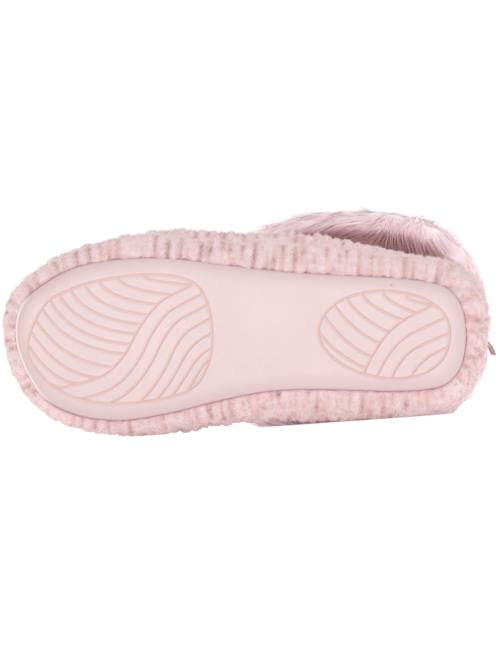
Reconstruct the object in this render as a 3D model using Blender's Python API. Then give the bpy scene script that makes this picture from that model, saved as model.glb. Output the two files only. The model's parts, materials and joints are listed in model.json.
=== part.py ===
"""A soft slipper boot for the left foot, lying empty on its inner side.

Every piece is drawn in the shoe's own frame, in millimetres: x runs from the back of the sole to the toe,
y to the wearer's left, which is the outer side, and z up from the ground that the sole would stand on.
The last step turns the finished shoe over, so that ball, heel and cuff lie on the floor together.
"""

import math

import bmesh
import bpy
import numpy as np
from mathutils import Matrix, Vector

MM = 0.001
GAP = 0.3

# Driving sizes of the shoe, in millimetres and degrees.
SOLE_LENGTH = 245.0
SOLE_THICKNESS = 6.0
SOLE_EDGE_RISE = 2.6
SOLE_EDGE_RADIUS = 6.5
TOE_SPRING = 8.0
TOE_SPRING_START = 182.0
INSOLE_THICKNESS = 6.0
INSOLE_DISH = 1.5
INSOLE_MARGIN = 0.5
WALL = 3.0
WIDEST_HEIGHT = 25.0
COLLAR_HEIGHT = 138.0
COLLAR_CENTRE = 61.0
COLLAR_HALF_LENGTH = 63.5
COLLAR_HALF_WIDTH = 49.0
COLLAR_SQUARENESS = 2.6
COLLAR_SPREAD = 0.3
CUFF_THICKNESS_SIDE = 17.0
CUFF_THICKNESS_FRONT = 17.0
CUFF_THICKNESS_BACK = 17.0
CUFF_HEM_BACK = 86.0
CUFF_HEM_FRONT = 101.0
CUFF_ROLL_BACK = 8.0
CUFF_ROLL_HEIGHT = 7.0
CUFF_ROLL_SPREAD = 0.25
CUFF_LIP_HEIGHT = 3.0
LOCK_REACH = 2.5
LIE_ROLL_DEG = 3.5
PRESSED_FLAT = 0.5

# How finely the forms are faceted.
AROUND = 64
UNDER_STEPS = 4
OVER_STEPS = 10

# The sole's outline, from the toe to the heel: distance from the back of the sole, reach to the outer and
# to the inner side, and how far the plush puffs out past the sole there.
SOLE_COLUMNS = ("along", "outer", "inner", "outer_puff", "inner_puff")
SOLE_STATIONS = (
    (241.5, 16.5, -14.5, 8.5, 8.0),
    (229.5, 27.5, -34.0, 9.5, 8.5),
    (211.0, 37.0, -43.6, 11.5, 9.0),
    (188.0, 41.2, -46.5, 14.0, 10.0),
    (162.0, 41.8, -42.8, 15.5, 13.0),
    (134.0, 38.6, -35.9, 17.0, 15.5),
    (108.0, 35.5, -30.9, 19.0, 16.5),
    (82.0, 33.4, -29.7, 19.0, 17.3),
    (41.0, 31.3, -30.7, 15.8, 16.5),
    (20.0, 28.8, -29.5, 14.5, 15.5),
    (9.5, 25.0, -25.8, 12.8, 14.0),
    (2.4, 15.5, -16.0, 12.6, 13.2),
)
TOE_TIP_SIDE = 2.0
TOE_PUFF = 7.5
HEEL_PUFF = 13.0

# How the plush rises from its widest line to the collar, by direction round the shoe: the heights of the
# curve's two handles, and how far the lower end of the collar's handle stands outwards.
RISE_COLUMNS = ("turn_deg", "rise", "drop", "lean")
RISE_ROWS = (
    (0.0, 28.0, 86.0, 7.0),
    (25.0, 28.0, 72.0, 2.0),
    (60.0, 30.0, 52.0, -5.0),
    (100.0, 32.0, 44.0, -6.0),
    (180.0, 34.0, 40.0, -4.0),
)

# The fur cuff's section, clockwise from its foot: reach out from the shaft as a share of the fur's thickness,
# and height as a share of the way from the hem to the collar's edge.
CUFF_COLUMNS = ("reach", "height")
CUFF_SECTION = (
    (0.22, -0.03),
    (0.62, -0.07),
    (0.93, 0.10),
    (1.00, 0.36),
    (0.97, 0.64),
    (0.82, 0.90),
    (0.52, 1.11),
    (0.16, 1.21),
)
LOCK_COLUMNS = ("height", "number", "length", "half_width", "half_depth")
LOCK_ROWS = (
    (0.12, 23, 32.0, 9.5, 4.2),
    (0.50, 20, 32.0, 10.5, 4.2),
    (0.94, 17, 26.0, 9.5, 4.0),
)
LOCK_SINK = 3.0

# The two fields of tread under forefoot and heel. Each has a groove round its border and a divider. On its toe
# side waves run into it: each row gives where a wave leaves the border and at which side it meets the divider,
# and all of them leave and meet at the same slopes. On its heel side bands follow it at the given distances.
GROOVE_WIDTH = 1.6
GROOVE_DEPTH = 0.9
GROOVE_STEP = 5.0
FIELD_COLUMNS = ("along", "outer", "inner")
FIELDS = {
    "forefoot": {
        "front": (238.0, -7.0),
        "back": (137.5, -1.0),
        "sides": (
            (229.0, 15.5, -23.5),
            (214.0, 25.0, -33.0),
            (194.0, 30.5, -37.0),
            (168.0, 32.8, -35.0),
            (149.0, 29.0, -29.0),
            (140.5, 18.0, -17.5),
        ),
        "divider": ((149.5, 27.0), (166.0, 17.5), (176.5, 4.5), (185.0, -10.5), (197.0, -22.0), (221.0, -29.0)),
        "waves": (
            (173.7, 31.1, 27.2),
            (188.6, 30.2, 21.9),
            (198.4, 28.3, 16.7),
            (206.3, 26.4, 11.1),
            (213.7, 23.6, 5.9),
            (220.3, 21.3, 0.6),
            (224.4, 17.1, -5.0),
            (229.1, 13.4, -10.1),
            (233.8, 8.8, -17.3),
            (236.1, 2.2, -23.0),
            (237.0, -6.1, -26.2),
        ),
        "slopes_deg": (5.0, 58.0),
        "bands": (6.9, 13.6, 20.9, 28.2, 35.5, 42.8),
    },
    "heel": {
        "front": (80.2, 1.8),
        "back": (9.3, 0.8),
        "sides": (
            (75.0, 13.5, -9.5),
            (61.0, 21.8, -19.0),
            (42.0, 23.8, -23.4),
            (24.0, 20.0, -21.0),
            (12.5, 11.5, -12.0),
        ),
        "divider": ((18.6, 16.3), (32.6, 9.1), (42.9, 0.8), (50.2, -9.5), (55.8, -20.4)),
        "waves": (
            (45.1, 22.3, 12.0),
            (56.2, 21.3, 8.1),
            (64.4, 18.9, 1.6),
            (71.2, 15.8, -4.5),
            (76.5, 9.7, -11.9),
            (79.4, 1.1, -17.9),
        ),
        "slopes_deg": (25.0, 56.0),
        "bands": (7.2, 14.8, 23.7),
    },
}

# The ribbon tab sewn into the back seam.
TAB_HEIGHT = 52.0
TAB_WIDTH = 14.0
TAB_THICKNESS = 1.8
TAB_LENGTH = 12.5
TAB_SIDE = -2.5
TAB_TURNS_DEG = (32.0, 76.0)

COLOURS = {
    "sole_rubber": (0.86, 0.66, 0.66),
    "plush": (0.80, 0.58, 0.58),
    "fur": (0.86, 0.66, 0.70),
    "footbed_fleece": (0.88, 0.72, 0.72),
    "ribbon": (0.55, 0.36, 0.37),
}


# Tables and curves

def columns(names, rows):
    """The rows of a table as one array for each column name."""
    return dict(zip(names, np.array(rows, float).T))


def smooth_step(value):
    value = np.clip(value, 0.0, 1.0)
    return value * value * (3.0 - 2.0 * value)


def through(points, closed, per_span=12):
    """A Catmull-Rom curve through the points, as a dense polyline."""
    points = np.asarray(points, float)
    if closed:
        padded = np.vstack([points[-1:], points, points[:2]])
    else:
        padded = np.vstack([2 * points[:1] - points[1:2], points, 2 * points[-1:] - points[-2:-1]])
    spans = []
    for a, b, c, d in zip(padded[:-3], padded[1:-2], padded[2:-1], padded[3:]):
        t = np.linspace(0.0, 1.0, per_span, endpoint=False)[:, None]
        cubic = 2 * b + (c - a) * t + (2 * a - 5 * b + 4 * c - d) * t**2 + (3 * b - a - 3 * c + d) * t**3
        spans.append(cubic / 2)
    if not closed:
        spans.append(points[-1:])
    return np.vstack(spans)


def resample(line, count, closed):
    """The same line with count points, evenly spaced along it."""
    path = np.vstack([line, line[:1]]) if closed else line
    run = np.concatenate([[0.0], np.cumsum(np.linalg.norm(np.diff(path, axis=0), axis=1))])
    wanted = np.linspace(0.0, run[-1], count + 1)[:-1] if closed else np.linspace(0.0, run[-1], count)
    return np.stack([np.interp(wanted, run, path[:, k]) for k in range(path.shape[1])], axis=1)


def closed_outline(rows, names, front, back, count):
    """A closed plan outline from its front end along the outer side, with its back end at half of its points."""
    table = columns(names, rows)
    outer = np.stack([table["along"], table["outer"]], axis=1)
    inner = np.stack([table["along"], table["inner"]], axis=1)[::-1]
    line = through(np.vstack([[front], outer, [back], inner]), closed=True)
    back_at = len(line) // 2
    outer_half = resample(line[: back_at + 1], count // 2 + 1, closed=False)
    inner_half = resample(np.vstack([line[back_at:], line[:1]]), count // 2 + 1, closed=False)
    return np.vstack([outer_half[:-1], inner_half[:-1]])


def outward(outline):
    """Unit vectors in plan that point out of an outline that runs anticlockwise seen from above."""
    along = np.roll(outline, -1, axis=0) - np.roll(outline, 1, axis=0)
    side = np.stack([along[:, 1], -along[:, 0]], axis=1)
    return side / np.linalg.norm(side, axis=1, keepdims=True)


def edge_distance(points, outline):
    """How far each plan point lies from the outline."""
    start, end = outline, np.roll(outline, -1, axis=0)
    run = end - start
    offset = points[:, None, :] - start[None]
    share = np.clip((offset * run).sum(2) / (run * run).sum(1), 0.0, 1.0)
    return np.linalg.norm(offset - share[..., None] * run, axis=2).min(axis=1)


# The last

def sole_outline(count=AROUND):
    return closed_outline(SOLE_STATIONS, SOLE_COLUMNS, (SOLE_LENGTH, TOE_TIP_SIDE), (0.0, 0.0), count)


def toe_lift(along):
    """How far the toe spring lifts the sole at a distance from its back."""
    share = np.clip((along - TOE_SPRING_START) / (SOLE_LENGTH - TOE_SPRING_START), 0.0, 1.2)
    return TOE_SPRING * share**2


def sole_under(points, outline):
    """Height of the sole's underside: flat, rounded up at its edge, with the toe sprung."""
    near_edge = np.clip(1.0 - edge_distance(points, outline) / SOLE_EDGE_RADIUS, 0.0, 1.0)
    return SOLE_EDGE_RISE * (1.0 - np.sqrt(1.0 - near_edge**2)) + toe_lift(points[:, 0])


def puff(outline):
    """How far the plush stands out past each point of the sole's outline."""
    table = columns(SOLE_COLUMNS, SOLE_STATIONS)
    along = np.concatenate([[SOLE_LENGTH], table["along"], [0.0]])[::-1]
    amounts = []
    for name in ("outer_puff", "inner_puff"):
        column = np.concatenate([[TOE_PUFF], table[name], [HEEL_PUFF]])[::-1]
        amounts.append(np.interp(outline[:, 0], along, column))
    amount = np.where(outline[:, 1] > 0, *amounts)
    return (np.roll(amount, 1) + 2 * amount + np.roll(amount, -1)) / 4


def collar_turn(outline):
    """The direction round the collar that each point of the outline rises to, in radians from the toe."""
    turn = np.unwrap(np.arctan2(outline[:, 1], outline[:, 0] - COLLAR_CENTRE))
    turn = turn - turn[0]
    even = 2.0 * math.pi * np.arange(len(outline)) / len(outline)
    return (1.0 - COLLAR_SPREAD) * turn + COLLAR_SPREAD * even


def collar_point(turn, half_length, half_width):
    """A point of the collar's rounded oval in plan."""
    power = 2.0 / COLLAR_SQUARENESS
    cos, sin = np.cos(turn), np.sin(turn)
    return np.stack(
        [
            COLLAR_CENTRE + half_length * np.sign(cos) * np.abs(cos) ** power,
            half_width * np.sign(sin) * np.abs(sin) ** power,
        ],
        axis=-1,
    )


def bezier(a, b, c, d, t):
    return (1 - t) ** 3 * a + 3 * (1 - t) ** 2 * t * b + 3 * (1 - t) * t**2 * c + t**3 * d


def plush_surface():
    """The outside of the upper as rows of points: from the sole's seam out to the widest line, up to the collar."""
    outline = sole_outline()
    out = outward(outline)
    seam = outline + GAP * out
    swell = puff(outline)[:, None] * out
    lift = toe_lift(outline[:, 0])
    seam_height = SOLE_EDGE_RISE + lift
    widest_height = WIDEST_HEIGHT + 0.5 * lift
    rows = []
    for step in range(UNDER_STEPS):
        angle = 0.5 * math.pi * step / UNDER_STEPS
        height = widest_height + (seam_height - widest_height) * math.cos(angle)
        rows.append(np.column_stack([seam + swell * math.sin(angle), height]))
    turn = collar_turn(outline)
    table = columns(RISE_COLUMNS, RISE_ROWS)
    away = np.degrees(np.minimum(turn, 2.0 * math.pi - turn))
    rise, drop, lean = (np.interp(away, table["turn_deg"], table[n]) for n in ("rise", "drop", "lean"))
    collar = collar_point(turn, COLLAR_HALF_LENGTH, COLLAR_HALF_WIDTH)
    leaning = np.stack([np.cos(turn), np.sin(turn)], axis=1) * lean[:, None]
    top = np.full(len(outline), COLLAR_HEIGHT)
    handles = (
        np.column_stack([seam + swell, widest_height]),
        np.column_stack([seam + swell, widest_height + rise]),
        np.column_stack([collar + leaning, top - drop]),
        np.column_stack([collar, top]),
    )
    for step in range(OVER_STEPS + 1):
        rows.append(bezier(*handles, step / OVER_STEPS))
    return np.array(rows)


def surface_normals(rows):
    """Outward unit normals of a surface given as closed rows of points, the lowest row first."""
    around = np.roll(rows, -1, axis=1) - np.roll(rows, 1, axis=1)
    upward = np.gradient(rows, axis=0)
    normal = np.cross(around, upward)
    return normal / np.linalg.norm(normal, axis=2, keepdims=True)


# Objects

def material(name):
    made = bpy.data.materials.get(name)
    if made is None:
        made = bpy.data.materials.new(name)
        made.use_nodes = True
        shader = made.node_tree.nodes["Principled BSDF"]
        shader.inputs["Base Color"].default_value = (*COLOURS[name], 1.0)
        shader.inputs["Roughness"].default_value = 0.55 if name == "sole_rubber" else 0.95
        shader.inputs["Metallic"].default_value = 0.0
    return made


def add_object(name, points, faces, finish=None):
    """A mesh object in the shoe's frame, its faces turned outwards. Points are in millimetres."""
    mesh = bpy.data.meshes.new(name)
    mesh.from_pydata([tuple(MM * c for c in p) for p in points], [], faces)
    shape = bmesh.new()
    shape.from_mesh(mesh)
    bmesh.ops.recalc_face_normals(shape, faces=shape.faces)
    shape.to_mesh(mesh)
    shape.free()
    made = bpy.data.objects.new(name, mesh)
    bpy.context.scene.collection.objects.link(made)
    made.parent = bpy.data.objects["shoe"]
    if finish:
        mesh.materials.append(material(finish))
        mesh.shade_smooth()
        mesh.set_sharp_from_angle(angle=math.radians(50))
    return made


def add_cutter(name, points, faces):
    made = add_object(name, points, faces)
    made.hide_render = True
    made.display_type = "WIRE"
    return made


def combine(target, other, operation):
    """A Boolean of the target with a helper object."""
    joined = target.modifiers.new(f"{operation.lower()} {other.name}", "BOOLEAN")
    joined.operation = operation
    joined.solver = "EXACT"
    joined.use_self = operation == "UNION"
    joined.object = other


def ring_faces(rows, around, first=0):
    """Quads between closed rows of points that are numbered row by row from first."""
    return [
        (
            first + row * around + k,
            first + row * around + (k + 1) % around,
            first + (row + 1) * around + (k + 1) % around,
            first + (row + 1) * around + k,
        )
        for row in range(rows - 1)
        for k in range(around)
    ]


def plate(outline, insets, under, over):
    """A closed plate with this outline. Under and over give the heights of its two faces at plan points."""
    half = len(outline) // 2
    reach = max(insets)
    plan, rows = [outline[0]], [[0]]
    for k in range(1, half):
        outer, inner = outline[k], outline[-k]
        width = np.linalg.norm(inner - outer)
        shares = np.array(insets) / width * min(1.0, 0.42 * width / reach)
        shares = np.concatenate([shares, [0.5], 1.0 - shares[::-1]])
        rows.append(list(range(len(plan), len(plan) + len(shares))))
        plan.extend(outer + share * (inner - outer) for share in shares)
    rows.append([len(plan)])
    plan.append(outline[half])
    plan = np.array(plan)
    count = len(plan)
    points = np.vstack([np.column_stack([plan, under(plan)]), np.column_stack([plan, over(plan)])])
    faces = []
    for first in (0, count):
        for a, b in zip(rows[:-1], rows[1:]):
            if len(a) == 1 or len(b) == 1:
                tip, other = (a, b) if len(a) == 1 else (b, a)
                faces += [(first + tip[0], first + p, first + q) for p, q in zip(other[:-1], other[1:])]
            else:
                faces += [
                    (first + p, first + q, first + s, first + r)
                    for p, q, r, s in zip(a[:-1], a[1:], b[:-1], b[1:])
                ]
    edge = [row[0] for row in rows] + [row[-1] for row in rows[-2:0:-1]]
    faces += [(p, q, q + count, p + count) for p, q in zip(edge, edge[1:] + edge[:1])]
    return points, faces


# Tread

def groove(line, closed, points, faces):
    """Adds one groove along a plan line to a cutter's points and faces."""
    along = np.roll(line, -1, axis=0) - np.roll(line, 1, axis=0) if closed else np.gradient(line, axis=0)
    side = np.stack([-along[:, 1], along[:, 0]], axis=1)
    side *= 0.5 * GROOVE_WIDTH / np.linalg.norm(side, axis=1, keepdims=True)
    top = toe_lift(line[:, 0]) + GROOVE_DEPTH
    foot = toe_lift(line[:, 0]) - SOLE_EDGE_RISE
    corners = [
        np.column_stack([line - side, foot]),
        np.column_stack([line + side, foot]),
        np.column_stack([line + side, top]),
        np.column_stack([line - side, top]),
    ]
    first = len(points)
    points.extend(np.stack(corners, axis=1).reshape(-1, 3))
    count = len(line)
    for k in range(count if closed else count - 1):
        a, b = first + 4 * k, first + 4 * ((k + 1) % count)
        faces.extend((a + j, a + (j + 1) % 4, b + (j + 1) % 4, b + j) for j in range(4))
    if not closed:
        last = first + 4 * (count - 1)
        faces.append((first + 3, first + 2, first + 1, first))
        faces.append((last, last + 1, last + 2, last + 3))


def inside(points, outline):
    """Which plan points lie inside the outline, by the turn of the outline round each of them."""
    ray = outline[None] - points[:, None]
    angle = np.arctan2(ray[..., 1], ray[..., 0])
    turn = np.diff(np.concatenate([angle, angle[:, :1]], axis=1), axis=1)
    return np.abs(((turn + math.pi) % (2 * math.pi) - math.pi).sum(axis=1)) > math.pi


def kept_stretch(line, field, beyond=None):
    """The longest stretch of a line inside a field and clear of its border, on the toe side of any divider."""
    margin = 1.2 * GROOVE_WIDTH
    use = inside(line, field) & (edge_distance(line, field) > margin)
    if beyond is not None:
        use &= toe_side(line, beyond) > margin
    runs = np.split(np.arange(len(line)), np.where(np.diff(use.astype(int)) != 0)[0] + 1)
    kept = max((run for run in runs if use[run[0]]), key=len, default=[])
    return line[kept]


def toe_side(line, divider):
    """How far each point of a line lies to the toe side of the divider."""
    nearest = np.linalg.norm(line[:, None] - divider[None], axis=2).argmin(axis=1)
    along = np.gradient(divider, axis=0)[nearest]
    offset = line - divider[nearest]
    return (along[:, 0] * offset[:, 1] - along[:, 1] * offset[:, 0]) / np.linalg.norm(along, axis=1)


def lengthened(line, reach):
    """A line carried straight on past both of its ends."""
    first = line[0] - line[1]
    last = line[-1] - line[-2]
    ends = [end + reach * way / np.linalg.norm(way) for end, way in ((line[0], first), (line[-1], last))]
    return resample(np.vstack([ends[0], line, ends[1]]), 160, closed=False)


def wave_line(head, foot, slopes_deg):
    """A curve from a wave's foot on the divider to its head on the border, carried a little past the head."""
    foot_slope, head_slope = (math.tan(math.radians(slope)) for slope in slopes_deg)
    run, rise = head - foot
    share = np.clip((head_slope - rise / run) / (head_slope - foot_slope), 0.05, 0.95)
    corner = foot + share * run * np.array([1.0, foot_slope])
    t = np.linspace(0.0, 1.15, 120)[:, None]
    return (1 - t) ** 2 * foot + 2 * (1 - t) * t * corner + t**2 * head


def tread_lines(field, border):
    """The lines of a field's grooves inside its border: the divider, its bands and its waves."""
    divider = lengthened(through(field["divider"], closed=False), 25.0)
    lines = [kept_stretch(divider, border)]
    along = np.gradient(divider, axis=0)
    to_heel = np.stack([along[:, 1], -along[:, 0]], axis=1)
    to_heel /= np.linalg.norm(to_heel, axis=1, keepdims=True)
    for offset in field["bands"]:
        lines.append(kept_stretch(divider + to_heel * offset, border))
    for along_head, side_head, side_foot in field["waves"]:
        foot = np.array([np.interp(-side_foot, -divider[:, 1], divider[:, 0]), side_foot])
        wave = wave_line(np.array([along_head, side_head]), foot, field["slopes_deg"])
        lines.append(kept_stretch(wave, border, divider))
    kept = []
    for line in lines:
        length = np.linalg.norm(np.diff(line, axis=0), axis=1).sum()
        if length > 2.0 * GROOVE_STEP:
            kept.append(resample(line, 1 + round(length / GROOVE_STEP), closed=False))
    return kept


def tread_border(field):
    return closed_outline(field["sides"], FIELD_COLUMNS, field["front"], field["back"], 40)


def tread_cutter():
    points, faces = [], []
    for field in FIELDS.values():
        border = tread_border(field)
        groove(border, True, points, faces)
        for line in tread_lines(field, border):
            groove(line, False, points, faces)
    return add_cutter("tread_cutter", points, faces)


# The pieces

def build_outsole():
    outline = sole_outline()
    insets = (0.0, 1.0, 3.0, SOLE_EDGE_RADIUS)
    points, faces = plate(
        outline,
        insets,
        lambda plan: sole_under(plan, outline),
        lambda plan: SOLE_THICKNESS + toe_lift(plan[:, 0]),
    )
    outsole = add_object("outsole", points, faces, "sole_rubber")
    combine(outsole, tread_cutter(), "DIFFERENCE")
    return outsole


def build_insole():
    outline = sole_outline(AROUND // 2)
    outline = outline + INSOLE_MARGIN * outward(outline)
    bottom = SOLE_THICKNESS + GAP

    def top(plan):
        edge = np.clip(1.0 - edge_distance(plan, outline) / (3.0 * SOLE_EDGE_RADIUS), 0.0, 1.0)
        return bottom + INSOLE_THICKNESS + INSOLE_DISH * (edge**2 - 1.0) + toe_lift(plan[:, 0])

    points, faces = plate(outline, (0.0, 7.0), lambda plan: bottom + toe_lift(plan[:, 0]), top)
    return add_object("insole", points, faces, "footbed_fleece")


def build_upper(surface, floor):
    inside_wall = surface - WALL * surface_normals(surface)
    inside_wall[0] = surface[0] + np.array([0.0, 0.0, WALL])
    inside_wall[-1, :, 2] = COLLAR_HEIGHT
    rows, around = surface.shape[:2]
    points = np.vstack([pressed(surface.reshape(-1, 3), floor), inside_wall.reshape(-1, 3)])
    inner = rows * around
    faces = ring_faces(rows, around)
    faces += [face[::-1] for face in ring_faces(rows, around, inner)]
    for row in (0, rows - 1):
        edge = [row * around + k for k in range(around)]
        following = edge[1:] + edge[:1]
        faces += [(p, q, q + inner, p + inner) for p, q in zip(edge, following)]
    return add_object("upper", points, faces, "plush")


def cuff_measures(turn):
    """The fur's thickness and the height of its hem, by direction round the shoe."""
    front = smooth_step((np.cos(turn) + 0.2) / 1.2)
    back = smooth_step((-np.cos(turn) - 0.4) / 0.6)
    thickness = CUFF_THICKNESS_SIDE
    thickness = thickness + (CUFF_THICKNESS_FRONT - CUFF_THICKNESS_SIDE) * front
    thickness = thickness + (CUFF_THICKNESS_BACK - CUFF_THICKNESS_SIDE) * back
    return thickness, CUFF_HEM_BACK + (CUFF_HEM_FRONT - CUFF_HEM_BACK) * front


def cuff_row(surface, reach, height):
    """A closed row of the cuff's points: reach out from the shaft in millimetres, height as a share."""
    hem = cuff_measures(collar_turn(sole_outline()))[1]
    level = hem + height * (COLLAR_HEIGHT - hem)
    over = surface[UNDER_STEPS:]
    plan = []
    for k, z in enumerate(np.minimum(level, COLLAR_HEIGHT)):
        plan.append([np.interp(z, over[:, k, 2], over[:, k, axis]) for axis in (0, 1)])
    plan = np.array(plan)
    return np.column_stack([plan + outward(plan) * np.reshape(reach, (-1, 1)), level])


def lock(root, tip, width_way, half_width, half_depth, points, faces):
    """Adds one pointed lock of fur, bowed outwards, to a helper's points and faces."""
    way = tip - root
    depth_way = np.cross(way, width_way)
    depth_way /= np.linalg.norm(depth_way)
    first = len(points)
    for share, size in ((0.0, 0.55), (0.45, 1.0), (0.8, 0.55)):
        middle = root + share * way
        for turn in (0.25, 0.75, 1.25, 1.75):
            side = math.cos(turn * math.pi) * half_width * width_way
            points.append(middle + size * (side + math.sin(turn * math.pi) * half_depth * depth_way))
    points.append(tip)
    for row in (first, first + 4):
        faces.extend((row + k, row + (k + 1) % 4, row + 4 + (k + 1) % 4, row + 4 + k) for k in range(4))
    faces.extend((first + 8 + k, first + 8 + (k + 1) % 4, first + 12) for k in range(4))
    faces.append((first + 3, first + 2, first + 1, first))


def cuff_locks(surface, floor):
    """Locks of fur in staggered rows round the cuff, left out where the cuff lies on the floor."""
    points, faces = [], []
    section = columns(CUFF_COLUMNS, CUFF_SECTION)
    thickness = cuff_measures(collar_turn(sole_outline()))[0]
    table = columns(LOCK_COLUMNS, LOCK_ROWS)
    for number, values in enumerate(zip(*table.values())):
        height, count, length, half_width, half_depth = values
        reach = np.interp(height, section["height"][1:], section["reach"][1:])
        row = cuff_row(surface, reach * thickness, height)
        even = resample(row, 8 * int(count), closed=True)
        fullness = resample(np.column_stack([row, thickness]), 8 * int(count), closed=True)[:, 3]
        fullness = fullness / CUFF_THICKNESS_SIDE
        out = outward(even[:, :2])
        for k in range(int(count)):
            at = (8 * k + 4 * number) % len(even)
            outwards = np.array([*out[at], 0.0])
            sideways = np.array([-out[at, 1], out[at, 0], 0.0])
            sway = math.sin(2.4 * k + number)
            slope = math.radians(24.0)
            down = np.array([0.0, 0.0, -1.0])
            way = math.cos(slope) * down + math.sin(slope) * outwards + 0.22 * sway * sideways
            if height > 0.7:
                way = way + 0.7 * outwards
            way /= np.linalg.norm(way)
            size = fullness[at]
            tip = even[at] + size * ((LOCK_REACH + sway) * outwards + 0.45 * length * way)
            root = tip - size * length * way - LOCK_SINK * outwards
            if floor_height(np.array([even[at], tip]), floor).min() > 2.0 * half_depth:
                lock(root, tip, sideways, half_width, half_depth, points, faces)
    return points, faces


def build_cuff(surface, floor):
    """The ring of fur with its locks. At the back it rolls in over the collar's edge."""
    section = columns(CUFF_COLUMNS, CUFF_SECTION)
    turn = collar_turn(sole_outline())
    thickness = cuff_measures(turn)[0]
    roll = CUFF_ROLL_BACK * smooth_step(1.0 - (1.0 + np.cos(turn)) / CUFF_ROLL_SPREAD)
    inside = -WALL - GAP
    rows = [cuff_row(surface, 1.5 * GAP, share) for share in (0.75, 0.5, 0.25, 0.0)]
    for reach, height in zip(section["reach"], section["height"]):
        rows.append(cuff_row(surface, reach * thickness, height))
    lips = ((inside - roll, CUFF_ROLL_HEIGHT), (inside, CUFF_LIP_HEIGHT), (inside, GAP), (GAP, GAP))
    for reach, lip in lips:
        rows.append(cuff_row(surface, reach, 1.0) + np.array([0.0, 0.0, lip]))
    faces = ring_faces(len(rows), AROUND)
    last = (len(rows) - 1) * AROUND
    faces += [(last + k, last + (k + 1) % AROUND, (k + 1) % AROUND, k) for k in range(AROUND)]
    cuff = add_object("fur_cuff", pressed(np.vstack(rows), floor), faces, "fur")
    locks = add_cutter("cuff_locks", *cuff_locks(surface, floor))
    combine(cuff, locks, "UNION")
    return cuff


def build_tab(surface):
    """A folded ribbon that leaves the back seam and bends round to the inner side."""
    over = surface[UNDER_STEPS:, AROUND // 2]
    heights = TAB_HEIGHT + np.linspace(-0.5, 0.5, 5) * TAB_WIDTH
    seat = np.interp(heights, over[:, 2], over[:, 0]).min() - GAP
    bend = np.radians(np.linspace(*TAB_TURNS_DEG, 6))
    ways = np.stack([-np.cos(bend), -np.sin(bend)], axis=1)
    path = [np.array([seat - 0.5 * TAB_THICKNESS * math.sin(bend[0]), TAB_SIDE])]
    for way in ways[:-1]:
        path.append(path[-1] + way * TAB_LENGTH / (len(ways) - 1))
    points, faces = [], []
    for k, (at, way) in enumerate(zip(path, ways)):
        side = np.array([-way[1], way[0]]) * 0.5 * TAB_THICKNESS
        if k == len(path) - 1:
            side = side * 0.45
        for flat, rise in ((-1, -1), (1, -1), (1, 1), (-1, 1)):
            points.append([*(at + flat * side), TAB_HEIGHT + rise * 0.5 * TAB_WIDTH])
    faces = [(3, 2, 1, 0), tuple(range(len(points) - 4, len(points)))]
    for k in range(0, len(points) - 4, 4):
        faces += [(k + j, k + (j + 1) % 4, k + 4 + (j + 1) % 4, k + 4 + j) for j in range(4)]
    return add_object("heel_tab", points, faces, "ribbon")


# Lying down

def lying_plane(surface):
    """The floor in the shoe's frame, as its upward direction and the height of the floor along it.

    The shoe is rolled by a set angle towards its cuff and turned until ball and heel touch together.
    """
    points = surface.reshape(-1, 3)
    heel = points[points[:, 0] < 0.4 * SOLE_LENGTH]
    ball = points[points[:, 0] > 0.5 * SOLE_LENGTH]
    low, high = -0.3, 0.3
    for _ in range(40):
        turn = 0.5 * (low + high)
        up = np.array([turn, 1.0, math.tan(math.radians(LIE_ROLL_DEG))])
        if (ball @ up).min() < (heel @ up).min():
            low = turn
        else:
            high = turn
    up /= np.linalg.norm(up)
    return up, (points @ up).min() + PRESSED_FLAT


def floor_height(points, floor):
    up, level = floor
    return points @ up - level


def pressed(points, floor):
    """The points with all that would lie below the floor pressed flat against it."""
    up = floor[0]
    return points + np.maximum(-floor_height(points, floor), 0.0)[:, None] * up


def lay_down(shoe, floor):
    """Turns the shoe so that the floor is level at z = 0, its sole faces -Y and its toe points to -X."""
    up = Vector(floor[0])
    across = Vector((-1.0, 0.0, 0.0))
    across = (across - across.dot(up) * up).normalized()
    turned = Matrix((across, up.cross(across), up)).to_4x4()
    shoe.matrix_world = Matrix.Translation((0.0, 0.0, -MM * floor[1])) @ turned
    bpy.context.view_layer.update()
    graph = bpy.context.evaluated_depsgraph_get()
    corners = []
    for piece in shoe.children:
        if not piece.hide_render:
            solid = piece.evaluated_get(graph).to_mesh()
            corners += [piece.matrix_world @ v.co for v in solid.vertices]
    middle = [0.5 * (min(c[k] for c in corners) + max(c[k] for c in corners)) for k in (0, 1)]
    shoe.matrix_world = Matrix.Translation((-middle[0], -middle[1], 0.0)) @ shoe.matrix_world
    bpy.context.view_layer.update()


def main():
    for old in list(bpy.data.objects):
        bpy.data.objects.remove(old)
    shoe = bpy.data.objects.new("shoe", None)
    bpy.context.scene.collection.objects.link(shoe)
    surface = plush_surface()
    floor = lying_plane(surface)
    build_outsole()
    build_insole()
    build_upper(surface, floor)
    build_cuff(surface, floor)
    build_tab(surface)
    lay_down(shoe, floor)


main()
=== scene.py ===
# %% [markdown]
# # A plush slipper boot, lying on its side
# The photograph looks straight at the sole of a soft boot that lies on its inner side: a smooth pale
# rubber sole with two fields of wavy grooves, a fuzzy plush upper that swells out past it, and a cuff of
# long fur behind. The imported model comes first. It gives the place and the size of every solid, and each
# piece made below either stands for one of those solids or is sewn to one.

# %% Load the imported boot
import json
import math

import bpy
import numpy as np
from mathutils import Matrix, Vector, kdtree

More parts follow.
